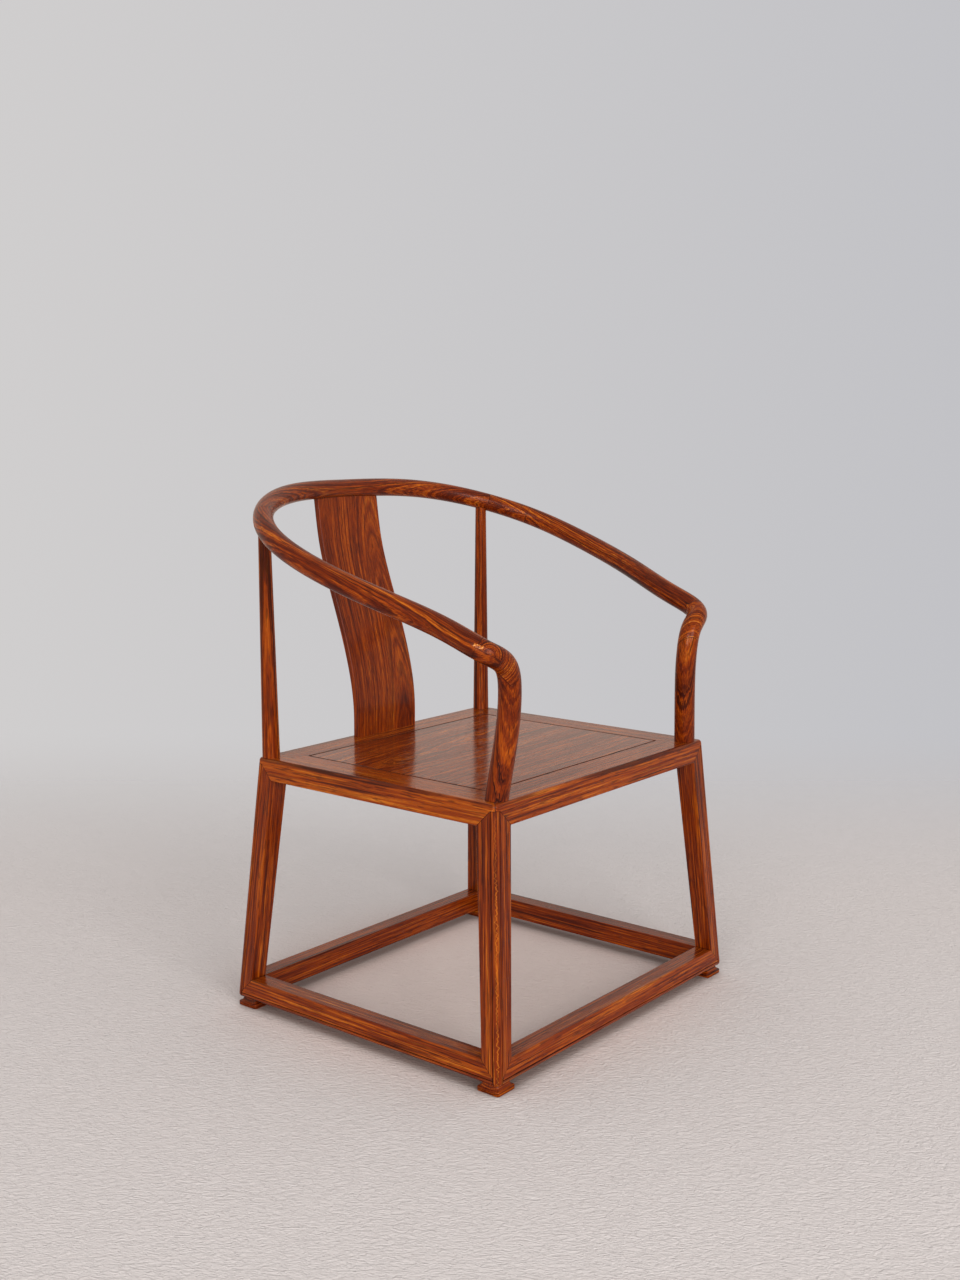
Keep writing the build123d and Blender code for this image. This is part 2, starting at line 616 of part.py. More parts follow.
def across_rail(at):
    """Plane that stands along the rail: X forward along it, Y up, Z level towards the inside."""
    forward = CURVE.tangent_at(at)
    return Plane(origin=CURVE.position_at(at), x_dir=forward, z_dir=forward.cross(Vector(0, 0, 1)))


def lap_cut(at, length, beyond):
    """What a lapped end loses: beyond is 1 for the piece behind the scarf, -1 for the one ahead."""
    end = beyond * (length / 2 + RAIL_DIAMETER)
    with BuildSketch(across_rail(at)) as lost:
        with BuildLine():
            Polyline(
                (-length / 2, 0),
                (length / 2, 0),
                (length / 2, -RAIL_DIAMETER),
                (end, -RAIL_DIAMETER),
                (end, RAIL_DIAMETER),
                (-length / 2, RAIL_DIAMETER),
                close=True,
            )
        make_face()
    return extrude(lost.sketch, amount=RAIL_DIAMETER, both=True)


def wedge_pin(at, gap):
    """The flat pin driven level through a scarf, narrower towards the inside of the chair."""
    plane = across_rail(at)
    with BuildPart() as pin:
        with BuildSketch(plane.offset(-RAIL_DIAMETER)):
            Rectangle(PIN_LENGTH + 2 * gap, PIN_HEIGHT + 2 * gap)
        with BuildSketch(plane.offset(RAIL_DIAMETER)):
            Rectangle(PIN_LENGTH - PIN_TAPER + 2 * gap, PIN_HEIGHT - PIN_TAPER + 2 * gap)
        loft()
    return pin.part


def shoulder_cut(upward):
    """Everything above (1) or below (-1) the V shoulder between a front post and its elbow."""
    plane = Plane(
        origin=(SHOULDER_X, SHOULDER_Y, SHOULDER_TIP), x_dir=(1, 1, 0), z_dir=(1, -1, 0)
    )
    with BuildSketch(plane) as lost:
        with BuildLine():
            Polyline(
                (-CUT, SHOULDER_RISE),
                (-SHOULDER_HALF_WIDTH, SHOULDER_RISE),
                (0, 0),
                (SHOULDER_HALF_WIDTH, SHOULDER_RISE),
                (CUT, SHOULDER_RISE),
                (CUT, upward * CUT),
                (-CUT, upward * CUT),
                close=True,
            )
        make_face()
    return extrude(lost.sketch, amount=CUT, both=True)


def upright_peg(x, y, bottom, top, diameter):
    """A round upright tenon between two heights."""
    with Locations((x, y, bottom)):
        Cylinder(diameter / 2, top - bottom, align=(Align.CENTER, Align.CENTER, Align.MIN))


def save_pair(piece, name):
    """Save a piece of the left side, and its mirror image on the right."""
    with BuildPart() as other:
        mirror(piece.part, about=Plane.YZ)
    save(piece, f"{name}_left")
    save(other, f"{name}_right")


with BuildPart() as crest_rail:
    add(round_span(0, BACK_SCARF_AT + BACK_LAP))
    add(lap_cut(BACK_SCARF_AT, BACK_SCARF_LENGTH, 1), mode=Mode.SUBTRACT)
    add(wedge_pin(BACK_SCARF_AT, FIT), mode=Mode.SUBTRACT)
    with Locations((BACK_HEAD_X, BACK_HEAD_Y, SHOULDER_HEIGHT)):
        Cylinder(
            HEAD_TENON / 2 + FIT,
            RAIL_DIAMETER,
            align=(Align.CENTER, Align.CENTER, Align.MAX),
            mode=Mode.SUBTRACT,
        )
    mirror(about=Plane.YZ)
    with Locations((0, CREST_BACK, CREST_HEIGHT - SPLAT_HEAD_DROP + END_GAP)):
        Box(
            SPLAT_HEAD_WIDTH + 2 * FIT,
            SPLAT_TENON_THICKNESS + 2 * FIT,
            RAIL_DIAMETER,
            align=(Align.CENTER, Align.CENTER, Align.MAX),
            mode=Mode.SUBTRACT,
        )
save(crest_rail, "crest_rail")

with BuildPart() as back_pin:
    add(wedge_pin(BACK_SCARF_AT, 0))
    add(round_span(BACK_SCARF_AT - PIN_SPAN, BACK_SCARF_AT + PIN_SPAN), mode=Mode.INTERSECT)
save_pair(back_pin, "scarf_pin_back")

with BuildPart() as elbow_pin:
    add(wedge_pin(ELBOW_PIN_AT, 0))
    add(round_span(ELBOW_PIN_AT - PIN_SPAN, ELBOW_PIN_AT + PIN_SPAN), mode=Mode.INTERSECT)
save_pair(elbow_pin, "scarf_pin_elbow")

with BuildPart() as arm_rail:
    add(round_span(BACK_SCARF_AT - BACK_LAP, ELBOW_SCARF_AT + ELBOW_LAP))
    add(lap_cut(BACK_SCARF_AT, BACK_SCARF_LENGTH, -1), mode=Mode.SUBTRACT)
    add(lap_cut(ELBOW_SCARF_AT, ELBOW_SCARF_LENGTH, 1), mode=Mode.SUBTRACT)
    add(wedge_pin(BACK_SCARF_AT, FIT), mode=Mode.SUBTRACT)
    add(wedge_pin(ELBOW_PIN_AT, FIT), mode=Mode.SUBTRACT)
save_pair(arm_rail, "arm_rail")

with BuildPart() as elbow:
    add(round_span(ELBOW_SCARF_AT - ELBOW_LAP, CURVE.param_at_point(ELBOW_POINTS[2])))
    add(lap_cut(ELBOW_SCARF_AT, ELBOW_SCARF_LENGTH, -1), mode=Mode.SUBTRACT)
    add(wedge_pin(ELBOW_PIN_AT, FIT), mode=Mode.SUBTRACT)
    add(shoulder_cut(-1), mode=Mode.SUBTRACT)
    upright_hole(SHOULDER_X, SHOULDER_Y, SHOULDER_TIP, ELBOW_TENON, ELBOW_TENON_HEIGHT, Align.MIN)
save_pair(elbow, "elbow")

# ---------------------------------------------------------------- posts
with BuildPart() as front_post:
    add(round_span(CURVE.param_at_point(ELBOW_POINTS[1]), 1))
    add(shoulder_cut(1), mode=Mode.SUBTRACT)
    split(bisect_by=Plane.XY.offset(SEAT_HEIGHT), keep=Keep.TOP)
    tip = SHOULDER_TIP + ELBOW_TENON_HEIGHT
    upright_peg(SHOULDER_X, SHOULDER_Y, SHOULDER_TIP - RAIL_RADIUS, tip, ELBOW_TENON)
    foot = SEAT_HEIGHT - POST_TENON_DEPTH
    upright_peg(FRONT_POST_X, FRONT_POST_Y, foot, SEAT_HEIGHT + RAIL_RADIUS, POST_TENON)
save_pair(front_post, "front_post")

with BuildPart() as back_post:
    with BuildSketch(Plane((BACK_POST_X, BACK_POST_Y, SEAT_HEIGHT))):
        Circle(BACK_POST_FOOT / 2)
    with BuildSketch(Plane((BACK_HEAD_X, BACK_HEAD_Y, SHOULDER_HEIGHT))):
        Circle(BACK_POST_HEAD / 2)
    loft()
    head_at = CURVE.param_at_point(LEFT_HALF[2])
    rail_near = curve_share(RAIL_DIAMETER)
    hollow = round_span(head_at - rail_near, head_at + rail_near, RAIL_RADIUS + SHOULDER_GAP)
    add(hollow, mode=Mode.SUBTRACT)
    head = SHOULDER_HEIGHT - END_GAP
    upright_peg(BACK_HEAD_X, BACK_HEAD_Y, SHOULDER_HEIGHT - 2 * RAIL_DIAMETER, head, HEAD_TENON)
    foot = SEAT_HEIGHT - POST_TENON_DEPTH
    upright_peg(BACK_POST_X, BACK_POST_Y, foot, SEAT_HEIGHT + RAIL_RADIUS, POST_TENON)
save_pair(back_post, "back_post")

# ---------------------------------------------------------------- splat
SPLAT_FALL = CREST_HEIGHT - SEAT_HEIGHT
SPLAT_LEAN = CREST_BACK - SPLAT_Y

with BuildPart() as back_splat:
    with BuildSketch(Plane.YZ):
        with BuildLine():
            Spline(
                (SPLAT_Y, SEAT_HEIGHT - SPLAT_THICKNESS),
                (SPLAT_Y, SEAT_HEIGHT),
                *[
                    (SPLAT_Y + back * SPLAT_LEAN, SEAT_HEIGHT + rise * SPLAT_FALL)
                    for back, rise in SPLAT_STATIONS
                ],
                (CREST_BACK, CREST_HEIGHT),
            )
        trace(line_width=SPLAT_THICKNESS)
    extrude(amount=SPLAT_WIDTH / 2, both=True)
    long_arrises = back_splat.edges().filter_by(GeomType.LINE, reverse=True)
    fillet(long_arrises.sort_by(SortBy.LENGTH)[-4:], SOFT_EDGE)
    split(bisect_by=Plane.XY.offset(SEAT_HEIGHT), keep=Keep.TOP)
    hollow = round_span(0, curve_share(SPLAT_WIDTH), RAIL_RADIUS + SHOULDER_GAP)
    add(hollow, mode=Mode.SUBTRACT)
    add(mirror(hollow, about=Plane.YZ), mode=Mode.SUBTRACT)
    with Locations((0, SPLAT_Y, SEAT_HEIGHT - SPLAT_TENON_DEPTH)):
        Box(
            SPLAT_WIDTH - 2 * SPLAT_TENON_MARGIN,
            SPLAT_TENON_THICKNESS,
            2 * SPLAT_TENON_DEPTH,
            align=(Align.CENTER, Align.CENTER, Align.MIN),
        )
    with Locations((0, CREST_BACK, CREST_HEIGHT - SPLAT_HEAD_DROP)):
        Box(
            SPLAT_HEAD_WIDTH,
            SPLAT_TENON_THICKNESS,
            RAIL_RADIUS,
            align=(Align.CENTER, Align.CENTER, Align.MAX),
        )
save(back_splat, "back_splat")
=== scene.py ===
"""Looks of the horseshoe back armchair: rosewood pieces on a pale studio floor.

The frame is +Z up in metres. The sitter faces -Y and the sitter's left is +X.
"""
import math

import bpy
import numpy as np
from mathutils import Matrix, Vector


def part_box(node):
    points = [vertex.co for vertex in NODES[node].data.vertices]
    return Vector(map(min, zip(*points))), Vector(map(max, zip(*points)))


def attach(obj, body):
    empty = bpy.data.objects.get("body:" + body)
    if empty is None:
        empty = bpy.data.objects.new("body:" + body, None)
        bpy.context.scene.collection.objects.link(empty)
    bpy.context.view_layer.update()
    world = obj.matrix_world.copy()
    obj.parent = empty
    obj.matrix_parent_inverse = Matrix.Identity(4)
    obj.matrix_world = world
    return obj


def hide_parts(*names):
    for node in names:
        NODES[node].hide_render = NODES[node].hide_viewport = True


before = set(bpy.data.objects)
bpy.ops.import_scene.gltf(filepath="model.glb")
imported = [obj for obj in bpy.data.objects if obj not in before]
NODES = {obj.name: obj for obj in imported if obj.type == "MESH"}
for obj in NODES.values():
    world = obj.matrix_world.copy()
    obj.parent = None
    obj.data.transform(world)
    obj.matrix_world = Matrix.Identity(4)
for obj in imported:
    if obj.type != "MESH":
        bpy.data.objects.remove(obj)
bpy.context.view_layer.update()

# ---------------------------------------------------------------- camera and stage
CAMERA_PLACE = (-1.9692, -1.6115, 0.9991)
CAMERA_YAW = 51.017          # degrees from +Y towards +X
CAMERA_PITCH = 8.207         # degrees down
CAMERA_LENS = 41.06          # millimetres on a 36 mm sensor


def make_camera():
    """A level camera in front of the sitter's right, looking slightly down."""
    data = bpy.data.cameras.new("camera")
    data.lens = CAMERA_LENS
    data.sensor_width = 36.0
    data.clip_end = 100.0
    camera = bpy.data.objects.new("camera", data)
    camera.location = CAMERA_PLACE
    camera.rotation_euler = (math.radians(90 - CAMERA_PITCH), 0, math.radians(-CAMERA_YAW))
    bpy.context.scene.collection.objects.link(camera)
    bpy.context.scene.camera = camera


def srgb(red, green, blue):
    """A colour given in 0-255 screen values, as the linear colour that the shaders take."""
    def linear(value):
        share = value / 255
        return share / 12.92 if share <= 0.04045 else ((share + 0.055) / 1.055) ** 2.4
    return (linear(red), linear(green), linear(blue), 1.0)


# ---------------------------------------------------------------- sizes, in millimetres
# Places are measured from the middle of the seat; the chair's origin lies behind it.
SEAT_LOW, SEAT_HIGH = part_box("seat_panel")
SEAT_HEIGHT = SEAT_HIGH.z * 1000
SEAT_MIDDLE_Y = (SEAT_LOW.y + SEAT_HIGH.y) * 500
SEAT_HALF_WIDTH = 303.0
SEAT_HALF_DEPTH = 260.5
SPLAY = 32.0                 # a leg's foot stands this far outside its top, both ways
FOOT_HEIGHT = 14.5
SEAT_RAIL_HEIGHT = 37.0
SEAT_RAIL_WIDTH = 61.0
BASE_RAIL_HEIGHT = 37.0
BASE_RAIL_WIDTH = 36.0
LEG_TOP_WIDTH = 38.5
LEG_FOOT_WIDTH = 33.0
ARRIS_RADIUS = 9.0           # rounded outer arris of a leg
SEAT_EDGE_RADIUS = 5.0
BASE_EDGE_RADIUS = 8.0
SOFT_EDGE = 1.5
PANEL_EDGE = 0.7             # round edge of the panel and of the rails beside it
PANEL_GAP = 2.8
PANEL_THICKNESS = 12.0
TONGUE_TOP = 5.0             # below the top of the seat
TONGUE_THICKNESS = 6.0
TONGUE_REACH = 2.0           # past the gap, into the rails
LEG_QUIRK = 10.7             # fine sunk line beside the rounded arris, from the corner
BASE_QUIRK = 9.4             # the same line above the base's rounded lower arris
QUIRK_WIDTH = 1.7
QUIRK_DEPTH = 1.3
SEAM = 0.3                   # eased edge where two pieces meet
SUNK = 0.4                   # an upright's eased foot goes this far into the seat
SUPPORT = 0.7                # a row of points this far past a rounded edge keeps the flat flat

FRAME_HEIGHT = SEAT_HEIGHT - FOOT_HEIGHT
SLOPE = SPLAY / FRAME_HEIGHT
TAPER = (LEG_TOP_WIDTH - LEG_FOOT_WIDTH) / FRAME_HEIGHT
BASE_HALF_WIDTH = SEAT_HALF_WIDTH + SPLAY
BASE_HALF_DEPTH = SEAT_HALF_DEPTH + SPLAY
SEAT_UNDERSIDE = SEAT_HEIGHT - SEAT_RAIL_HEIGHT
BASE_TOP = FOOT_HEIGHT + BASE_RAIL_HEIGHT
PANEL_HALF_WIDTH = SEAT_HALF_WIDTH - SEAT_RAIL_WIDTH
PANEL_HALF_DEPTH = SEAT_HALF_DEPTH - SEAT_RAIL_WIDTH
STRIP_TOP_DROP = 10.4        # the leg's rounded strip ends this far under the seat's top
STEP_HALF = 0.1              # half of the height in which a seat rail's end steps out over a leg
# painted shade: the gap round the panel is darkened this far down
GAP_SHADE_DEPTH = 8.0             # the gap round the panel is dark this far down
SEAT_MITRE = (LEG_TOP_WIDTH - TAPER * SEAT_RAIL_HEIGHT) / SEAT_RAIL_HEIGHT - SLOPE
BASE_MITRE = (LEG_FOOT_WIDTH + TAPER * BASE_RAIL_HEIGHT) / BASE_RAIL_HEIGHT + SLOPE
STRIP_TOP = SEAT_HEIGHT - STRIP_TOP_DROP


def unit(vectors):
    """Vectors cut or drawn out to length one."""
    return vectors / np.linalg.norm(vectors, axis=-1, keepdims=True)


# ---------------------------------------------------------------- meshes
SHARP_ANGLE = 35.0           # degrees; a steeper edge between two faces is shaded sharp
ARC_POINTS = 4               # on the smallest arc of an outline; one more for each mm of its radius
CLOSE_ROWS = np.array([0, SEAM, *np.arange(1.2, 13, 1.2), 15, 19, 25])[:, None]   # from an end
PIECES = {}                  # the made piece that stands for each CAD node


def ring_faces(rows, count):
    """Quads between neighbouring closed rings, and a fan of triangles over each end."""
    row, col = np.meshgrid(np.arange(rows - 1), np.arange(count), indexing="ij")
    ahead = (col + 1) % count
    low, high = row * count, (row + 1) * count
    quads = np.stack([low + col, low + ahead, high + ahead, high + col], -1).reshape(-1, 4)
    edge = np.arange(count)
    near = np.stack([np.full(count, rows * count), (edge + 1) % count, edge], -1)
    base = (rows - 1) * count
    far = np.stack([np.full(count, rows * count + 1), base + edge, base + (edge + 1) % count], -1)
    return quads.tolist() + near.tolist() + far.tolist()


def wound_volume(rings):
    """Volume between the rings by tetrahedra from their middle; below zero where they wind inwards."""
    here = rings - rings.reshape(-1, 3).mean(0)
    low, low_ahead = here[:-1], np.roll(here[:-1], -1, axis=1)
    high, high_ahead = here[1:], np.roll(here[1:], -1, axis=1)
    first = (np.cross(low, low_ahead) * high_ahead).sum()
    second = (np.cross(low, high_ahead) * high).sum()
    return (first + second) / 6


def make_piece(name, rings, node, crevice=None, board=None):
    """A closed piece over rings of points in millimetres, in place of one CAD node.

    crevice says, from 0 to 1, where finish and dust have darkened a joint, where the bottom of a sunk
    line is darker, and where shade is painted down the gap round the panel. board is the place of each
    point along and across a board that bends with the piece.
    """
    if crevice is None:
        crevice = np.zeros(rings.shape[:2])
        crevice[[0, -1]] = 1
    marks = [rings, crevice[..., None]] + ([] if board is None else [board])
    grid = rings.shape[:2]
    table = np.concatenate([np.broadcast_to(mark, grid + mark.shape[-1:]) for mark in marks], -1)
    if wound_volume(rings) < 0:
        table = table[:, ::-1]
    rows, count, width = table.shape
    table = np.concatenate([table.reshape(-1, width), table[[0, -1]].mean(1)])
    points = (table[:, :3] + (0, SEAT_MIDDLE_Y, 0)) / 1000
    mesh = bpy.data.meshes.new(name)
    mesh.from_pydata(points.tolist(), [], ring_faces(rows, count))
    mesh.polygons.foreach_set("use_smooth", np.ones(len(mesh.polygons), bool))
    mesh.set_sharp_from_angle(angle=math.radians(SHARP_ANGLE))
    dark = mesh.attributes.new("crevice", "FLOAT", "POINT")
    dark.data.foreach_set("value", table[:, 3].astype(np.float32))
    if board is not None:
        places = (table[:, 4:] / 1000).astype(np.float32).ravel()
        mesh.attributes.new("board", "FLOAT_VECTOR", "POINT").data.foreach_set("vector", places)
    piece = bpy.data.objects.new(name, mesh)
    bpy.context.scene.collection.objects.link(piece)
    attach(piece, "root")
    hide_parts(node)
    PIECES[node] = piece


def drawn_in(ring, amount=SEAM):
    """A ring drawn in towards its middle, for the eased edge of an end."""
    inward = ring.mean(0) - ring
    inward[:, 3:] = 0
    return ring + amount * unit(inward)


def eased_ends(rings):
    """The rings with the first and the last drawn in."""
    return np.concatenate([drawn_in(rings[0])[None], rings[1:-1], drawn_in(rings[-1])[None]])


def rounded_ring(corners, radii, fill):
    """A closed outline through given corners, each turned by an arc of its radius.

    An arc touches both edges at radius / tan(half the angle), and its points turn evenly round its
    middle. fill says how many points each edge has past its corner; the first and the last of them
    support the arcs beside them. A corner of no radius is a point.
    """
    corners = np.asarray(corners, float)
    points = []
    starts, ends = [], []
    for index, (corner, radius) in enumerate(zip(corners, radii)):
        back = corners[index - 1] - corner
        ahead = corners[(index + 1) % len(corners)] - corner
        back /= np.linalg.norm(back)
        ahead /= np.linalg.norm(ahead)
        half = math.acos(np.clip(back @ ahead, -1, 1)) / 2
        touch = radius / math.tan(half)
        starts.append(corner + back * touch)
        ends.append(corner + ahead * touch)
    for index, radius in enumerate(radii):
        after = (index + 1) % len(corners)
        if radius:
            bisector = (starts[index] + ends[index]) / 2 - corners[index]
            reach = math.hypot(radius, np.linalg.norm(starts[index] - corners[index]))
            heart = corners[index] + bisector / np.linalg.norm(bisector) * reach
            first, last = starts[index] - heart, ends[index] - heart
            sweep = math.acos(np.clip(first @ last / radius**2, -1, 1))
            share = np.linspace(0, 1, ARC_POINTS + int(radius))[:, None]
            turn = np.sin((1 - share) * sweep) * first + np.sin(share * sweep) * last
            points.append(heart + turn / math.sin(sweep))
        else:
            points.append(corners[index][None])
        if fill[index]:
            edge = starts[after] - ends[index]
            near = SUPPORT / np.linalg.norm(edge)
            share = np.linspace(near, 1 - near, fill[index])[:, None]
            points.append(ends[index] + share * edge)
    return np.concatenate(points)


def end_rows(low, high, middle_rows=14):
    """Rows between two limits given for each point of a ring.

    The close rows keep their distance from either end, and the rest share out what is between.
    """
    near = CLOSE_ROWS[-1]
    share = np.linspace(0, 1, middle_rows)[1:-1, None]
    between = (low + near) * (1 - share) + (high - near) * share
    return np.concatenate([low + CLOSE_ROWS, between, high - CLOSE_ROWS[::-1]])


# ---------------------------------------------------------------- the splayed frame
def skin(z):
    """Middle of the arris rounding from the chair's middle both ways, and its radius, at a height.

    The radius shrinks where the top edge of the seat or the lower edge of the base rounds in: by
    the edge's radius less sqrt(its square less the square of the way into it).
    """
    above = np.clip(z - (SEAT_HEIGHT - SEAT_EDGE_RADIUS), 0, SEAT_EDGE_RADIUS)
    below = np.clip(FOOT_HEIGHT + BASE_EDGE_RADIUS - z, 0, BASE_EDGE_RADIUS)
    inset = SEAT_EDGE_RADIUS - np.sqrt(SEAT_EDGE_RADIUS**2 - above**2)
    inset = inset + BASE_EDGE_RADIUS - np.sqrt(BASE_EDGE_RADIUS**2 - below**2)
    lean = (SEAT_HEIGHT - z) * SLOPE - ARRIS_RADIUS
    return SEAT_HALF_WIDTH + lean, SEAT_HALF_DEPTH + lean, ARRIS_RADIUS - inset


def sunk_line(at):
    """Corners of a quirk: places along the face and depths below it. Its sides slope a little."""
    sides = np.array([-0.5, -0.22, 0.22, 0.5])
    return at + QUIRK_WIDTH * sides, QUIRK_DEPTH * np.array([0, 1, 1, 0])


def in_quirk(depth, apart):
    """1 at the bottom of a quirk, from a point's depth and its distance from the quirk's middle."""
    return np.where((depth > QUIRK_DEPTH / 2) & (apart < QUIRK_WIDTH / 3), 1.0, 0.0)


def with_dark_ends(rings, dark):
    """The darkness of each point: that of its place in the section, and full at both joints."""
    crevice = np.broadcast_to(dark, rings.shape[:2]).copy()
    crevice[[0, -1]] = 1
    crevice[[1, -2]] = np.maximum(crevice[[1, -2]], 0.5)
    return crevice


def rail_rings(profile, crosswise, face_limit):
    """Rings of a mitred rail from its section: distances from the chair's middle, and heights.

    Half its length is the least of the face mitre and of the corner's diagonal in plan. Points near
    a corner are held to its rounding. crosswise is 0 for a rail along X and 1 for one along Y.
    """
    out, up = profile.T
    hearts = skin(up)
    heart_out, heart_long, radius = hearts[1 - crosswise], hearts[crosswise], hearts[2]
    diagonal = heart_long + np.minimum(out - heart_out, radius / math.sqrt(2))
    half = np.minimum(diagonal, face_limit(up))
    along = end_rows(-half, half)
    past = np.clip(np.abs(along) - heart_long, 0, radius)
    outer = np.minimum(out, heart_out + np.sqrt(radius**2 - past**2))
    rings = np.stack([along, outer, np.broadcast_to(up, along.shape)], -1)
    return eased_ends(rings)


def seat_profile(half_depth):
    """Section of a seat rail, with its outer top arris well rounded, and how dark each point is."""
    outer_foot = half_depth + SEAT_RAIL_HEIGHT * SLOPE
    inner = half_depth - SEAT_RAIL_WIDTH
    at_step = half_depth + STRIP_TOP_DROP * SLOPE
    corners = (
        (outer_foot, SEAT_UNDERSIDE),
        (at_step + STEP_HALF * SLOPE, STRIP_TOP - STEP_HALF),
        (at_step - STEP_HALF * SLOPE, STRIP_TOP + STEP_HALF),
        (half_depth, SEAT_HEIGHT),
        (inner, SEAT_HEIGHT),
        (inner, SEAT_UNDERSIDE),
    )
    radii = (SOFT_EDGE, 0, 0, SEAT_EDGE_RADIUS, PANEL_EDGE, SOFT_EDGE)
    profile = rounded_ring(corners, radii, (8, 0, 3, 10, 5, 8))
    # painted shade on the rail's side of the gap round the panel
    by_panel = np.abs(profile[:, 0] - inner) < PANEL_EDGE * 0.8
    return profile, np.where(by_panel & (profile[:, 1] > SEAT_HEIGHT - GAP_SHADE_DEPTH), 1.0, 0.0)


def base_profile(half_depth):
    """Section of a base rail, with its lower outer arris rounded and a quirk above it."""
    inner = half_depth - BASE_RAIL_WIDTH
    rise, depth = sunk_line(BASE_QUIRK)
    quirk = np.stack([half_depth - rise * SLOPE - depth, FOOT_HEIGHT + rise], -1)
    corners = np.concatenate([
        [(half_depth, FOOT_HEIGHT)],
        quirk,
        [(half_depth - BASE_RAIL_HEIGHT * SLOPE, BASE_TOP), (inner, BASE_TOP), (inner, FOOT_HEIGHT)],
    ])
    radii = (BASE_EDGE_RADIUS, 0, 0, 0, 0, SOFT_EDGE, SOFT_EDGE, SOFT_EDGE)
    profile = rounded_ring(corners, radii, (0, 0, 0, 0, 6, 6, 6, 6))
    height = profile[:, 1] - FOOT_HEIGHT
    face = half_depth - height * SLOPE
    return profile, in_quirk(face - profile[:, 0], np.abs(height - BASE_QUIRK))


def seat_limit(z):
    """Face mitre of a seat rail; above the leg's rounded strip the rail runs on to the corner."""
    return np.where(z > STRIP_TOP, SEAT_RAIL_WIDTH, SEAT_MITRE * (z - SEAT_HEIGHT))


def base_limit(z):
    """Face mitre of a base rail; it stops short of the leg's rounded strip all the way down."""
    strip = (z - FOOT_HEIGHT) * SLOPE + LEG_QUIRK + QUIRK_WIDTH / 2
    return -np.maximum(BASE_MITRE * (z - FOOT_HEIGHT), strip)


def placed(rings, crosswise, side):
    """Rail rings as points in space: along, out and up become X, Y and Z, on one side of the chair."""
    along, out, up = np.moveaxis(rings, -1, 0)
    parts = (side * out, along, up) if crosswise else (along, side * out, up)
    return np.stack(parts, -1)


def make_rails():
    """The four rails round the seat and the four on the floor."""
    sides = (("front", 0, -1), ("back", 0, 1), ("right", 1, -1), ("left", 1, 1))
    for name, crosswise, side in sides:
        halves = (SEAT_HALF_DEPTH, SEAT_HALF_WIDTH)
        out, long = halves[crosswise], halves[1 - crosswise]
        frames = (
            ("seat_frame", "seat_rail", seat_profile(out), lambda z: long + seat_limit(z)),
            ("floor_frame", "base_rail", base_profile(out + SPLAY),
             lambda z: long + SPLAY + base_limit(z)),
        )
        for piece, node, (profile, dark), limit in frames:
            rings = placed(rail_rings(profile, crosswise, limit), crosswise, side)
            crevice = with_dark_ends(rings, dark)
            make_piece(f"{piece}_{name}", rings, f"{node}_{name}", crevice=crevice)


def leg_outline(half_width, half_depth, width):
    """Section of a leg: quirks beside the rounded outer arris and three soft inner arrises."""
    run, depth = sunk_line(LEG_QUIRK)
    on_depth_face = np.stack([half_width - run, half_depth - depth], -1)
    on_width_face = np.stack([half_width - depth, half_depth - run], -1)[::-1]
    corners = np.concatenate([
        [(half_width, half_depth)],
        on_depth_face,
        [(half_width - width, half_depth)],
        [(half_width - width, half_depth - width)],
        [(half_width, half_depth - width)],
        on_width_face,
    ])
    radii = (ARRIS_RADIUS, 0, 0, 0, 0, SOFT_EDGE, SOFT_EDGE, SOFT_EDGE, 0, 0, 0, 0)
    return rounded_ring(corners, radii, (0, 0, 0, 0, 5, 5, 5, 5, 0, 0, 0, 0))


def leg_rings():
    """Rings of the leg in the corner of positive X and Y, and how dark each point is.

    Each point runs straight from the outline at the seat to that at the floor frame. It starts and
    stops where it meets the nearer of the mitres seen on the leg's two outer faces. The rounded
    strip between the quirks ends square under the seat's edge and runs right down at the base.
    """
    at_seat = leg_outline(SEAT_HALF_WIDTH, SEAT_HALF_DEPTH, LEG_TOP_WIDTH)
    at_base = leg_outline(BASE_HALF_WIDTH, BASE_HALF_DEPTH, LEG_FOOT_WIDTH)
    lean = (at_base - at_seat) / FRAME_HEIGHT
    from_seat_corner = np.array([SEAT_HALF_WIDTH, SEAT_HALF_DEPTH]) - at_seat
    from_base_corner = np.array([BASE_HALF_WIDTH, BASE_HALF_DEPTH]) - at_base
    strip = from_seat_corner.max(1) < LEG_QUIRK + QUIRK_WIDTH * 0.3
    fall = np.where(strip, STRIP_TOP_DROP, (from_seat_corner / (SEAT_MITRE + lean)).max(1))
    rise = np.where(strip, 0, (from_base_corner / (BASE_MITRE - lean)).max(1))
    z = end_rows(FOOT_HEIGHT + rise, SEAT_HEIGHT - fall, middle_rows=40)
    plan = at_seat + (SEAT_HEIGHT - z)[..., None] * lean
    heart_x, heart_y, radius = skin(z)
    past_x = np.minimum(plan[..., 0] - heart_x, radius)
    past_y = np.minimum(plan[..., 1] - heart_y, radius)
    away = np.hypot(np.maximum(past_x, 0), np.maximum(past_y, 0))
    pull = np.where((past_x > 0) & (past_y > 0), np.minimum(1, radius / np.maximum(away, 1e-6)), 1)
    rings = eased_ends(np.stack([heart_x + past_x * pull, heart_y + past_y * pull, z], -1))
    sunk = in_quirk(from_seat_corner.min(1), np.abs(from_seat_corner.max(1) - LEG_QUIRK))
    return rings, with_dark_ends(rings, sunk)


CORNERS = (("front_right", -1, -1), ("front_left", 1, -1), ("back_right", -1, 1), ("back_left", 1, 1))
SQUARE = ((1, 1), (-1, 1), (-1, -1), (1, -1))


def make_legs():
    """Four splayed legs, each a mirror image of its neighbours."""
    rings, dark = leg_rings()
    for name, side, back in CORNERS:
        end, hand = name.split("_")
        make_piece(f"stile_{name}", rings * (side, back, 1), f"leg_{end}_{hand}", crevice=dark)


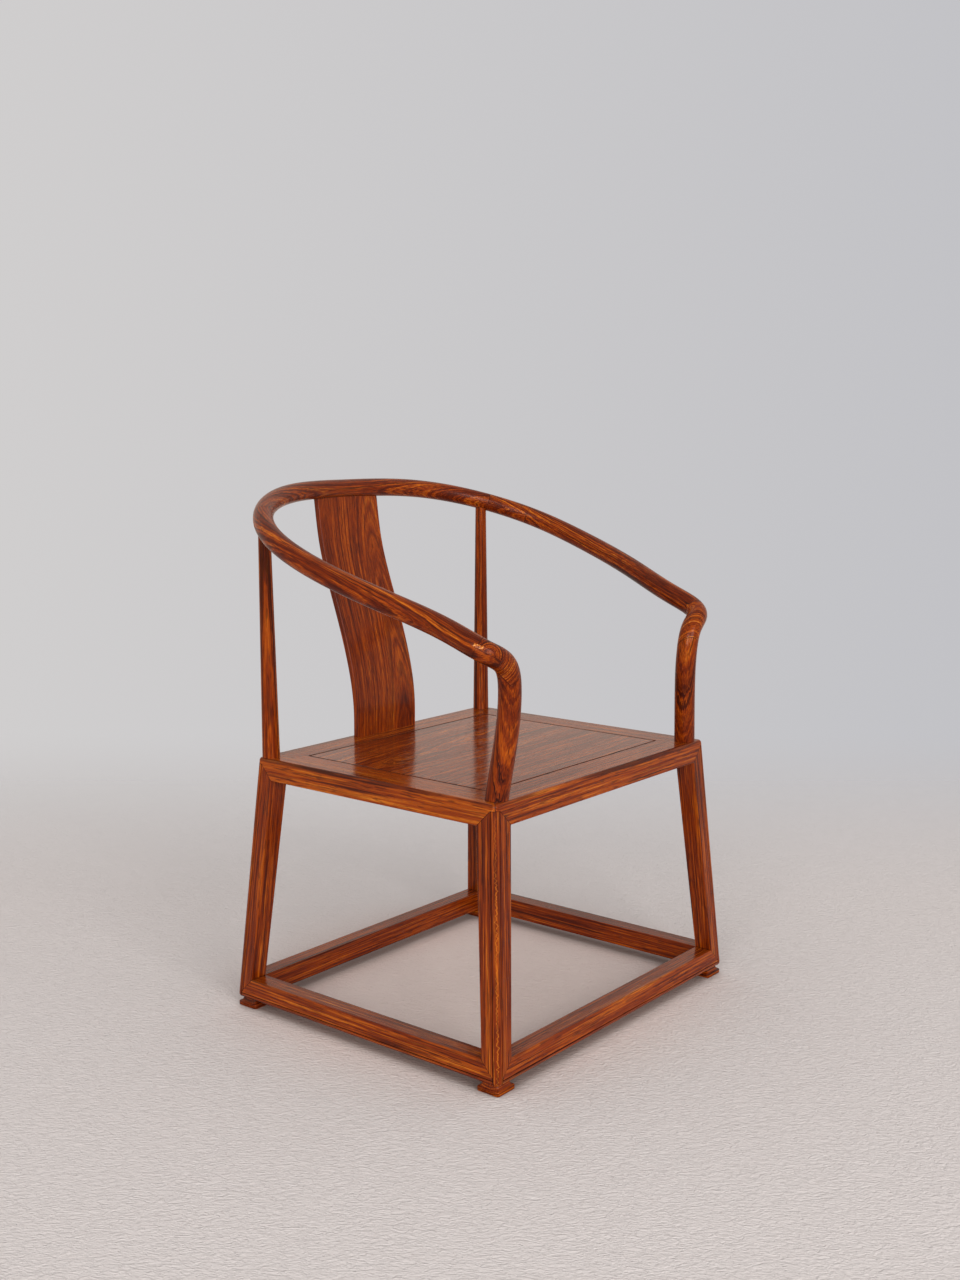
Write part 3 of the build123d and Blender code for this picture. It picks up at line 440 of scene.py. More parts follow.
# ---------------------------------------------------------------- feet
FOOT_WIDTH = 43.0
FOOT_CORNER = 4.0
FOOT_INSET = 2.0
PAD_HEIGHT = 7.5
PAD_EASE = 1.0               # eased lower edge
NECK_FOOT = 38.0
NECK_TOP = 31.0
NECK_HOLLOW = 2.2            # power of the neck's curve; more is hollower
GROOVE = 1.2
CORNER_POINTS = 6


def foot_rings():
    """A square foot: a pad with two grooves round it and a hollow neck.

    Squares with round corners lie one above another. Their half widths follow the foot's profile;
    the neck's is its top width plus the rest times (1 - share of the height) to a power.
    """
    pad = FOOT_WIDTH / 2
    turn = np.linspace(0, np.pi / 2, 4)
    low, high = PAD_HEIGHT / 3, PAD_HEIGHT * 2 / 3
    groove = np.array([-0.5, -0.3, 0.3, 0.5]) * GROOVE
    sunk = pad - GROOVE * np.array([0, 1, 1, 0])
    bend = np.linspace(0, 1, 9)
    neck = (NECK_FOOT - (NECK_FOOT - NECK_TOP) * (1 - (1 - bend) ** NECK_HOLLOW)) / 2
    shoulder = pad - GROOVE * (1 - np.cos(turn))
    half = np.concatenate([pad - PAD_EASE * np.array([1, 0.3, 0]), sunk, sunk, shoulder, neck])
    rise = np.concatenate([
        PAD_EASE * np.array([0, 0.3, 1]),
        low + groove,
        high + groove,
        PAD_HEIGHT - GROOVE * (1 - np.sin(turn)),
        PAD_HEIGHT + (FOOT_HEIGHT + 1 - PAD_HEIGHT) * bend,
    ])
    corner = np.repeat(SQUARE, CORNER_POINTS, axis=0)
    quarter = np.linspace(0, np.pi / 2, CORNER_POINTS)
    angle = np.concatenate([start + quarter for start in np.arange(4) * np.pi / 2])
    arc = FOOT_CORNER * np.stack([np.cos(angle), np.sin(angle)], -1)
    plan = (half[:, None, None] - FOOT_CORNER) * corner + arc
    return np.concatenate([plan, np.broadcast_to(rise[:, None, None], plan.shape[:2] + (1,))], -1)


def make_feet():
    """Four pad feet under the corners of the floor frame."""
    inset = FOOT_INSET + FOOT_WIDTH / 2
    for name, side, back in CORNERS:
        place = (side * (BASE_HALF_WIDTH - inset), back * (BASE_HALF_DEPTH - inset), 0)
        make_piece(f"pad_foot_{name}", foot_rings() + place, f"foot_{name}")


# ---------------------------------------------------------------- seat panel
def make_panel():
    """The floating panel: rectangles one above another, with its tongue and a round top edge."""
    turn = np.linspace(0, np.pi / 2, 4)
    edge = PANEL_EDGE * (1 - np.cos(turn))
    tongue_foot = TONGUE_TOP + TONGUE_THICKNESS
    fall = np.array([PANEL_THICKNESS, tongue_foot, tongue_foot, TONGUE_TOP, TONGUE_TOP])
    out = np.array([-PANEL_GAP, -PANEL_GAP, TONGUE_REACH, TONGUE_REACH, -PANEL_GAP])
    fall = np.concatenate([fall, PANEL_EDGE * (1 - np.sin(turn)), [0]])
    out = np.concatenate([out, -PANEL_GAP - edge, [-PANEL_GAP - PANEL_EDGE - SUPPORT]])
    sizes = np.array([PANEL_HALF_WIDTH, PANEL_HALF_DEPTH]) + out[:, None]
    plan = sizes[:, None] * SQUARE
    z = np.broadcast_to((SEAT_HEIGHT - fall)[:, None, None], plan.shape[:2] + (1,))
    # painted shade on the panel's sides below its round edge, down the gap
    dark = np.where(fall > PANEL_EDGE * 0.3, 1.0, 0.0)
    crevice = np.broadcast_to(dark[:, None], plan.shape[:2])
    make_piece("floating_panel", np.concatenate([plan, z], -1), "seat_panel", crevice)


# ---------------------------------------------------------------- the curved rail
CREST_HEIGHT = 890.5         # heights and places are those of the rail's middle line
CREST_BACK = 339.0
SHOULDER_HEIGHT = 860.0      # over the back posts
ARM_SPREAD = 366.0           # where the arms stand widest
ARM_HEIGHT = 697.0           # where the arms meet the elbows
FRONT_POST_X = 273.5
FRONT_POST_Y = -239.5
BACK_POST_X = 286.5
BACK_POST_Y = 244.0
BACK_POST_LEAN = 3.0
BACK_POST_FOOT = 30.5        # thickness at the seat
BACK_POST_HEAD = 20.5
ELBOW_OUT = 42.5             # the arm's front end, from the foot of the front post
ELBOW_BEHIND = 49.5
# shares of the arms' half spread, of the way forward to the elbow and of the fall to the arm
BOW_SPREAD = np.array([0.486, 0.959, 1.0, 0.937])
BOW_FORWARD = np.array([0.053, 0.338, 0.537, 0.792])
BOW_FALL = np.array([0.031, 0.333, 0.540, 0.786])
BEND = ((ELBOW_OUT, ELBOW_BEHIND, 0), (27.5, -4.5, -26), (-3.5, -12.5, -46), (-17, -11.5, -87))
POST_BOW = (-14.7, -7.5)     # the front post's middle bows this far from its foot
POST_BOW_HEIGHT = 0.39       # share of the way from seat to arm
FOOT_WAY = unit(np.array([0.14, 0.067, -1.0]))   # the front post's direction where it meets the seat
BACK_RADIUS = 16.6           # the rail is a little thinner behind the sitter
BACK_SWELL = 0.2             # from the middle of the back to the back posts
ARM_RADIUS = 18.1
POST_RADIUS = 18.3
BACK_SCARF = 84.0            # length of the lap between crest and arm
BACK_SCARF_START = 14.0      # past the back post
ELBOW_SCARF = 32.0
LAP_EDGE = 2.0               # width beside a lap's arris that is eased
PIN_SIZE = (11.0, 5.0)
PIN_PROUD = 0.25
ELBOW_PIN_SHIFT = 15.0       # from the middle of the scarf back along the arm
ELBOW_PIN_RISE = 6.5
SHOULDER_TIP_DROP = 78.0     # the V's point, below the arm
SHOULDER_HALF_WIDTH = 19.0
SHOULDER_RISE = 20.0
SHOULDER_SEARCH = 30.0       # the shoulder is looked for down to this far past the elbow
JOINT_STEPS = 400            # rows of the grid on which a joint is searched


def rail_stations():
    """Places on the left half of the rail, from the middle of the back to a front post's foot."""
    elbow_y = FRONT_POST_Y + ELBOW_BEHIND
    bow = np.stack([
        BOW_SPREAD * ARM_SPREAD,
        CREST_BACK - BOW_FORWARD * (CREST_BACK - elbow_y),
        CREST_HEIGHT - BOW_FALL * (CREST_HEIGHT - ARM_HEIGHT),
    ], -1)
    elbow = np.array(BEND) + (FRONT_POST_X, FRONT_POST_Y, ARM_HEIGHT)
    post_height = SEAT_HEIGHT + POST_BOW_HEIGHT * (ARM_HEIGHT - SEAT_HEIGHT)
    post = (FRONT_POST_X + POST_BOW[0], FRONT_POST_Y + POST_BOW[1], post_height)
    head = (BACK_POST_X + BACK_POST_LEAN, BACK_POST_Y + BACK_POST_LEAN, SHOULDER_HEIGHT)
    foot = (FRONT_POST_X, FRONT_POST_Y, SEAT_HEIGHT)
    return np.array([(0, CREST_BACK, CREST_HEIGHT), bow[0], head, *bow[1:], *elbow, post, foot])


def smooth_line(stations, first_way, last_way, count=4001):
    """A cubic spline through stations, spaced by the chords, with its direction given at both ends.

    The directions in between solve for a curvature that runs on evenly through each station. A
    span is (2t^3 - 3t^2 + 1) of its start, (3t^2 - 2t^3) of its end, and (t^3 - 2t^2 + t) and
    (t^3 - t^2) of its length times the directions there.
    """
    chord = np.linalg.norm(np.diff(stations, axis=0), axis=1)
    knots = np.concatenate([[0], np.cumsum(chord)])
    size = len(stations)
    system = np.eye(size)
    ways = np.zeros((size, 3))
    ways[0] = first_way
    ways[-1] = last_way
    inner = np.arange(1, size - 1)
    back, ahead = chord[:-1, None], chord[1:, None]
    system[inner, inner - 1] = ahead[:, 0]
    system[inner, inner] = 2 * (back + ahead)[:, 0]
    system[inner, inner + 1] = back[:, 0]
    step = np.diff(stations, axis=0)
    ways[inner] = 3 * (ahead * step[:-1] / back + back * step[1:] / ahead)
    slopes = np.linalg.solve(system, ways)
    at = np.linspace(0, knots[-1], count)
    span = np.clip(np.searchsorted(knots, at, side="right") - 1, 0, size - 2)
    width = chord[span, None]
    t = (at - knots[span])[:, None] / width
    line = (2 * t**3 - 3 * t**2 + 1) * stations[span] + (t**3 - 2 * t**2 + t) * width * slopes[span]
    end, end_way = stations[span + 1], slopes[span + 1]
    return line + (3 * t**2 - 2 * t**3) * end + (t**3 - t**2) * width * end_way


def run_of(line):
    """Length along a line of close points, from its start to each of them."""
    return np.concatenate([[0], np.cumsum(np.linalg.norm(np.diff(line, axis=0), axis=1))])


STATIONS = rail_stations()
BACK_HEAD, ARM_END, SCARF, BEND_END = STATIONS[[2, 5, 7, 9]]
LINE = smooth_line(STATIONS, (1, 0, 0), FOOT_WAY)
LINE = np.concatenate([LINE, LINE[-1] + np.arange(1, 11)[:, None] * FOOT_WAY])   # on into the seat
RUN = run_of(LINE)
WAY = unit(np.gradient(LINE, RUN, axis=0))


def run_at(place):
    """Length along the rail at which it passes nearest a place."""
    return RUN[np.argmin(np.linalg.norm(LINE - place, axis=1))]


BACK_HEAD_RUN = run_at(BACK_HEAD)
ARM_RUN = run_at(ARM_END)
ELBOW_SCARF_RUN = run_at(SCARF)
ELBOW_END_RUN = run_at(BEND_END)
POST_END_RUN = run_at(STATIONS[-1])
BACK_SCARF_RUN = BACK_HEAD_RUN + BACK_SCARF_START + BACK_SCARF / 2
ELBOW_PIN_RUN = ELBOW_SCARF_RUN - ELBOW_PIN_SHIFT


def look_up(values, run):
    """Rows of a table kept along the rail, at any lengths along it."""
    return np.stack([np.interp(run, RUN, column) for column in values.T], -1)


# Outwards is level and square to the rail; from the elbow's scarf on it keeps one direction.
LEVEL = np.stack([-WAY[:, 1], WAY[:, 0], np.zeros(len(WAY))], -1)
LEVEL = unit(np.where((RUN < ELBOW_SCARF_RUN)[:, None], LEVEL, look_up(LEVEL, ELBOW_SCARF_RUN)))
OUTWARD = unit(LEVEL - (LEVEL * WAY).sum(1, keepdims=True) * WAY)
UPWARD = np.cross(WAY, OUTWARD)


def rail_radius(run):
    """The rail swells from the back to the arms and stays full down the front posts."""
    stops = (0, BACK_HEAD_RUN, ARM_RUN, ELBOW_END_RUN, POST_END_RUN)
    radii = (BACK_RADIUS, BACK_RADIUS + BACK_SWELL, ARM_RADIUS, ARM_RADIUS, POST_RADIUS)
    return np.interp(run, stops, radii)


ROUND = np.linspace(0, 2 * np.pi, 65)[:-1]


def rail_surface(run):
    """Middle line + radius * (cosine of the turn * outwards + sine of it * up), for all turns."""
    outward = np.cos(ROUND)[:, None] * look_up(OUTWARD, run)
    upward = np.sin(ROUND)[:, None] * look_up(UPWARD, run)
    return look_up(LINE, run) + rail_radius(run)[..., None] * (outward + upward)


def round_rows(start, end, spacing=4.0):
    """Rings of the full round rail between two lengths; either may be given for each turn.

    A fourth column keeps the length along the rail, and a fifth how dark a joint has made it.
    """
    count = max(3, int(np.abs(np.mean(start) - np.mean(end)) / spacing))
    share = np.linspace(0, 1, count)[:, None]
    run = start * (1 - share) + end * share + 0 * ROUND
    rings = rail_surface(run)
    return np.concatenate([rings, run[..., None], 0 * run[..., None]], -1)


LOWER, UPPER = -1, 1
LAP_DARK = 0.2


def lap_rows(at, length, keep):
    """Rings through a lapped scarf: half of the round is pressed flat on to the plane of the lap.

    keep is LOWER or UPPER, for the half that stays. The edges of the flat are drawn in by the seam
    and a little darkened.
    """
    heart, way = look_up(LINE, at), look_up(WAY, at)
    flat_normal = np.cross(unit(np.array([way[1], -way[0], 0])), way)
    run = np.linspace(at - length / 2, at + length / 2, max(9, int(length / 3)))[:, None] + 0 * ROUND
    rings = rail_surface(run)
    over = (rings - heart) @ flat_normal * keep
    rings -= np.minimum(over, 0)[..., None] * keep * flat_normal
    edge = (np.abs(over) < LAP_EDGE) & (over >= 0)
    rings += SEAM * edge[..., None] * unit(look_up(LINE, run) - rings)
    return np.concatenate([rings, run[..., None], LAP_DARK * edge[..., None]], -1)


def joint_run(start, end, height_limit):
    """Length along the rail, for each turn, at which its surface falls to a limiting height.

    It is read between the two rows of a fine grid where the height left over changes sign.
    """
    run = np.linspace(start, end, JOINT_STEPS)[:, None] + 0 * ROUND
    point = rail_surface(run)
    over = point[..., 2] - height_limit(point)
    last = len(over) - 1 - np.argmax(over[::-1] > 0, axis=0)
    last = np.minimum(last, len(over) - 2)
    turn = np.arange(len(ROUND))
    before, after = over[last, turn], over[last + 1, turn]
    return run[last, turn] + (run[1, 0] - run[0, 0]) * before / (before - after)


def shoulder_height(point):
    """The V shoulder: it rises evenly both ways from a point on the chair's diagonal."""
    across = ((point[..., :2] - BEND_END[:2]) @ (1, 1)) / math.sqrt(2)
    return ARM_HEIGHT - SHOULDER_TIP_DROP + SHOULDER_RISE / SHOULDER_HALF_WIDTH * np.abs(across)


END_DARK = np.array([[0.9], [0.6]])   # on the last ring of an eased end and on the one before


def eased_start(rings):
    """Rings whose first is drawn in by the seam and darkened, with two rings kept just past it."""
    end, next_ring = rings[0], rings[1]
    apart = np.linalg.norm((next_ring - end)[:, :3], axis=-1, keepdims=True)
    step = (next_ring - end) / apart
    near = np.stack([drawn_in(end), end + SEAM * step, end + 4 * SEAM * step])
    near[:2, :, 4] = np.maximum(near[:2, :, 4], END_DARK)
    return np.concatenate([near, rings[1:]])


def eased_end(rings):
    """The same at the last ring."""
    return eased_start(rings[::-1])[::-1]


def eased_both(rings):
    """The same at both ends."""
    return eased_end(eased_start(rings))


BOW_SHARE = 0.35             # how much of a piece's bow its grain does not follow


def make_rail_piece(name, table, side, node):
    """A piece of the rail, with the places of its points in the board that it was sawn from.

    The board follows the rail: its length, outwards and up from the rail's middle line. A share of
    the middle line's rise above the straight between the piece's ends is added, so the grain runs
    out at both ends as it does in wood that is sawn to a bend.
    """
    run = table[..., 3]
    far = np.abs(run)
    straight = look_up(LINE, far.max())
    if run.min() < 0:
        along = np.array([1.0, 0, 0])
    else:
        along = unit(straight - look_up(LINE, run.min()))
    heart = look_up(LINE, far)
    bow = heart - straight
    bow = BOW_SHARE * (bow - (bow @ along)[..., None] * along)
    mirror = np.where(run < 0, -1, 1)[..., None] * (1, 0, 0) + (0, 1, 1)
    off = table[..., :3] * mirror - heart + bow
    out, up = (off * look_up(OUTWARD, far)).sum(-1), (off * look_up(UPWARD, far)).sum(-1)
    board = np.stack([run, out, up], -1)
    make_piece(name, table[..., :3] * (side, 1, 1), node, table[..., 4], board)


def make_rail():
    """The five parts of the curved rail, the front posts that run on from it, and the scarf pins."""
    round_part = eased_end(round_rows(0, BACK_SCARF_RUN - BACK_SCARF / 2))
    lap = eased_end(lap_rows(BACK_SCARF_RUN, BACK_SCARF, LOWER))
    crest = np.concatenate([round_part, lap])
    whole = np.concatenate([crest[:0:-1] * (-1, 1, 1, -1, 1), crest])
    make_rail_piece("crest", whole, 1, "crest_rail")

    back_lap = eased_start(lap_rows(BACK_SCARF_RUN, BACK_SCARF, UPPER))
    round_part = round_rows(BACK_SCARF_RUN + BACK_SCARF / 2, ELBOW_SCARF_RUN - ELBOW_SCARF / 2)
    front_lap = eased_end(lap_rows(ELBOW_SCARF_RUN, ELBOW_SCARF, LOWER))
    arm = np.concatenate([back_lap, eased_both(round_part), front_lap])

    lap = eased_start(lap_rows(ELBOW_SCARF_RUN, ELBOW_SCARF, UPPER))
    shoulder = joint_run(ELBOW_SCARF_RUN, ELBOW_END_RUN + SHOULDER_SEARCH, shoulder_height)
    round_part = round_rows(ELBOW_SCARF_RUN + ELBOW_SCARF / 2, shoulder, spacing=2.5)
    elbow = np.concatenate([lap, eased_both(round_part)])

    seat = joint_run(ELBOW_END_RUN, RUN[-1], lambda point: SEAT_HEIGHT - SUNK + 0 * point[..., 2])
    post = eased_both(round_rows(shoulder, seat))

    for hand, side in (("left", 1), ("right", -1)):
        make_rail_piece(f"arm_{hand}", arm, side, f"arm_rail_{hand}")
        make_rail_piece(f"bend_{hand}", elbow, side, f"elbow_{hand}")
        make_rail_piece(f"arm_post_{hand}", post, side, f"front_post_{hand}")
        for name, at, up in (("back", BACK_SCARF_RUN, 0), ("elbow", ELBOW_PIN_RUN, ELBOW_PIN_RISE)):
            pin = pin_rings(at, up) * (side, 1, 1)
            clean = np.zeros(pin.shape[:2])
            make_piece(f"peg_{name}_{hand}", pin, f"scarf_pin_{name}_{hand}", clean)


PIN_CORNER = 0.1             # share of the pin's half size
# share of the pin's size, and share of the way out to the round, for each outline along the pin
PIN_HEAD = np.array([(1, 0.985), (0.96, 1), (0.7, 1), (0.3, 1)])
PIN_OUTLINES = np.concatenate([PIN_HEAD[::-1] * (1, -1), [(1, 0)], PIN_HEAD])


def pin_rings(at, rise):
    """A flat bar driven level through a scarf; its ends follow the round of the rail.

    Each point lies as far out from the rail's middle as the round does at its own height and
    length; smaller outlines one in another close both ends.
    """
    square = rounded_ring(SQUARE, (PIN_CORNER,) * 4, (3, 1, 3, 1))
    size, share = PIN_OUTLINES.T[:, :, None, None]
    along, up = np.moveaxis(square * size * np.array(PIN_SIZE) / 2 + (0, rise), -1, 0)
    run = at + along
    reach = np.sqrt(rail_radius(run) ** 2 - up**2) + PIN_PROUD
    heart = look_up(LINE, run) + up[..., None] * look_up(UPWARD, run)
    return heart + share * reach[..., None] * look_up(OUTWARD, run)


# ---------------------------------------------------------------- back posts and splat
def upright_rows(first, count):
    """Shares of an upright's height for its rings: even between first and 1 - first, close at ends."""
    even = np.linspace(first, 1 - first, count)
    return np.concatenate([[0, 0.001, 0.004], even, [0.996, 0.999, 1]])[:, None]


def back_post_rings():
    """A tapered round post whose head is hollowed to the rail.

    Each side of it ends where its distance from the rail's middle line is the rail's radius: the
    lower root of a * rise^2 + b * rise + c = 0.
    """
    foot = np.array([BACK_POST_X, BACK_POST_Y, SEAT_HEIGHT])
    rise = SHOULDER_HEIGHT - SEAT_HEIGHT
    around = np.stack([np.cos(ROUND), np.sin(ROUND), 0 * ROUND], -1)
    low = foot + around * BACK_POST_FOOT / 2 - (0, 0, SUNK)
    lean = (BACK_HEAD + around * BACK_POST_HEAD / 2 - low) / rise
    way = look_up(WAY, BACK_HEAD_RUN)
    offset = low - BACK_HEAD
    a = (lean**2).sum(1) - (lean @ way) ** 2
    b = 2 * ((lean * offset).sum(1) - (lean @ way) * (offset @ way))
    c = (offset**2).sum(1) - (offset @ way) ** 2 - rail_radius(BACK_HEAD_RUN) ** 2
    top = (-b - np.sqrt(b**2 - 4 * a * c)) / (2 * a)
    rings = low + (upright_rows(0.02, 40) * top)[..., None] * lean
    return eased_ends(rings)


SPLAT_WIDTH = 158.0
SPLAT_THICKNESS = 11.0
SPLAT_FOOT = SEAT_HALF_DEPTH - 18.0
SPLAT_EDGE = 2.0
SPLAT_ROUNDS = 8             # of moving its head up to the crest
# shares of the way back and up from the seat to the crest, through which the splat's curve runs
SPLAT_BACK = np.array([0, 0, 0.187, 0.527, 0.851, 1])
SPLAT_RISE = np.array([-0.0245, 0.11, 0.335, 0.558, 0.781, 1])


def splat_rings():
    """A thin board bent along one curve seen from the side; its head follows the round crest rail.

    The head moves up each line of the board until it lies a rail's radius from the crest's middle.
    Also gives each point's place in the flat board, along, across and through it.
    """
    y = SPLAT_FOOT + SPLAT_BACK * (CREST_BACK - SPLAT_FOOT)
    z = SEAT_HEIGHT + SPLAT_RISE * (CREST_HEIGHT - SEAT_HEIGHT)
    side = np.stack([0 * y, y, z], -1)
    curve = smooth_line(side, unit(side[1] - side[0]), unit(side[-1] - side[-2]), 801)
    run = run_of(curve)
    way = unit(np.gradient(curve, run, axis=0))
    face = np.stack([0 * run, -way[:, 2], way[:, 1]], -1)
    half = np.array([SPLAT_WIDTH / 2, SPLAT_THICKNESS / 2])
    outline = rounded_ring(half * SQUARE, (SPLAT_EDGE,) * 4, (26, 3, 26, 3))
    across, thick = outline.T

    def board(at):
        """Points of the board at lengths along its curve, one for each point of the outline."""
        place = np.stack([np.interp(at, run, curve[:, axis]) for axis in range(3)], -1)
        normal = np.stack([np.interp(at, run, face[:, axis]) for axis in range(3)], -1)
        place = place + (thick + 0 * at)[..., None] * normal
        place[..., 0] += across
        return place

    rail_y = np.interp(np.abs(across), LINE[:, 0], LINE[:, 1])
    rail_z = np.interp(np.abs(across), LINE[:, 0], LINE[:, 2])
    top = run[-1] - BACK_RADIUS + 0 * across
    for _ in range(SPLAT_ROUNDS):
        point = board(top)
        gap = np.hypot(point[:, 1] - rail_y, point[:, 2] - rail_z) - BACK_RADIUS
        top = top + gap
    bottom = np.interp(SEAT_HEIGHT - SUNK, curve[:, 2], run) + 0 * across
    share = upright_rows(0.015, 70)
    at = bottom * (1 - share) + top * share
    flat = np.stack([at, across + 0 * at, thick + 0 * at], -1)
    return eased_ends(board(at)), flat


def make_uprights():
    """The two back posts and the splat, which stand on the seat."""
    for hand, side in (("left", 1), ("right", -1)):
        make_piece(f"rear_post_{hand}", back_post_rings() * (side, 1, 1), f"back_post_{hand}")
    rings, flat = splat_rings()
    make_piece("splat", rings, "back_splat", board=flat)


make_rails()
make_legs()
make_feet()
make_panel()
make_rail()
make_uprights()

# ---------------------------------------------------------------- node helpers
class Nodes:
    """Short calls that add and join shader nodes in one tree."""

    def __init__(self, tree):
        self.tree = tree

    def put(self, socket, value):
        """Join a socket to another one, or give it a value."""
        if isinstance(value, bpy.types.NodeSocket):
            self.tree.links.new(value, socket)
        else:
            socket.default_value = value

    def add(self, kind, values=None, **settings):
        node = self.tree.nodes.new(kind)
        for name, value in settings.items():
            setattr(node, name, value)
        for name, value in (values or {}).items():
            self.put(node.inputs[name], value)
        return node

    def math(self, operation, first, second=0.0, third=None, clamp=False):
        values = {0: first, 1: second}
        if third is not None:
            values[2] = third
        return self.add("ShaderNodeMath", values, operation=operation, use_clamp=clamp).outputs[0]

    def noise(self, vector, detail=2.0, roughness=0.5, distortion=0.0):
        values = {"Vector": vector, "Scale": 1.0, "Detail": detail}
        values |= {"Roughness": roughness, "Distortion": distortion}
        return self.add("ShaderNodeTexNoise", values).outputs["Fac"]

    def span(self, value, low, high, to_low=0.0, to_high=1.0, smooth=True):
        values = {"Value": value, "From Min": low, "From Max": high}
        values |= {"To Min": to_low, "To Max": to_high}
        kind = "SMOOTHSTEP" if smooth else "LINEAR"
        return self.add("ShaderNodeMapRange", values, interpolation_type=kind).outputs["Result"]

    def mark(self, value, full, clear):
        """1 where a value lies under one limit, falling to 0 at another."""
        return self.span(value, full, clear, 1.0, 0.0)

    def vector(self, operation, first, second, output="Vector"):
        values = {0: first, 1: second}
        return self.add("ShaderNodeVectorMath", values, operation=operation).outputs[output]

    def join(self, x, y, z):
        return self.add("ShaderNodeCombineXYZ", {"X": x, "Y": y, "Z": z}).outputs["Vector"]

    def mix(self, factor, first, second):
        node = self.add("ShaderNodeMix", data_type="RGBA")
        for index, value in ((0, factor), (6, first), (7, second)):
            self.put(node.inputs[index], value)
        return node.outputs[2]

    def mix_shaders(self, factor, first, second):
        values = {0: factor, 1: first.outputs[0], 2: second.outputs[0]}
        return self.add("ShaderNodeMixShader", values)

    def ramp(self, factor, stops):
        node = self.add("ShaderNodeValToRGB", {"Fac": factor})
        elements = node.color_ramp.elements
        while len(elements) < len(stops):
            elements.new(0.5)
        for element, (place, colour) in zip(elements, stops):
            element.position = place
            element.color = colour
        return node.outputs["Color"]


def cleared_nodes(data):
    """Nodes of a material or a world, with none in it yet."""
    data.use_nodes = True
    data.node_tree.nodes.clear()
    return Nodes(data.node_tree)


# ---------------------------------------------------------------- rosewood
# colour of the dark joints and sunk lines, and of the painted shade down the gap round the panel
SEAM_AND_SHADE_COLOUR = srgb(28, 10, 6)
VEIN = srgb(48, 13, 7)
DARK = srgb(84, 25, 6)
RED_BROWN = srgb(126, 45, 6)
ORANGE = srgb(160, 70, 10)
LIGHT = srgb(206, 116, 28)
PALE = srgb(236, 170, 104)
GRAIN_COLOURS = ((0.10, DARK), (0.38, RED_BROWN), (0.62, ORANGE), (0.9, LIGHT), (1.0, PALE))

# what a figure starts from; the kinds of piece change some of it
FIGURE = {"wave": 1.0, "veins": 1.0, "tone": 0.0, "contrast": 1.0, "ragged": 0.001, "painted_highlight": 0.0}

# shares in the grain's colour
WIDE_SHARE = 0.20
NARROW_SHARE = 0.44
FINE_SHARE = 0.24
PATCH_SHARE = 0.12

# how far the dark marks cover the wood
VEIN_COVER = 0.85
STREAK_COVER = 0.65
DASH_COVER = 0.55
PORE_COVER = 0.6
CREVICE_COVER = 0.92

# the pale line of painted highlight, down a leg's rounded arris
HIGHLIGHT_LINE_HALF_WIDTH = (0.0004, 0.0012)   # metres; full inside the first, gone past the second
HIGHLIGHT_LINE_SWAY = 0.014
POLISH = 1.26                # index of refraction of the oiled surface
GRAIN_DEPTH = 0.0002
GRAIN_STRENGTH = 0.3


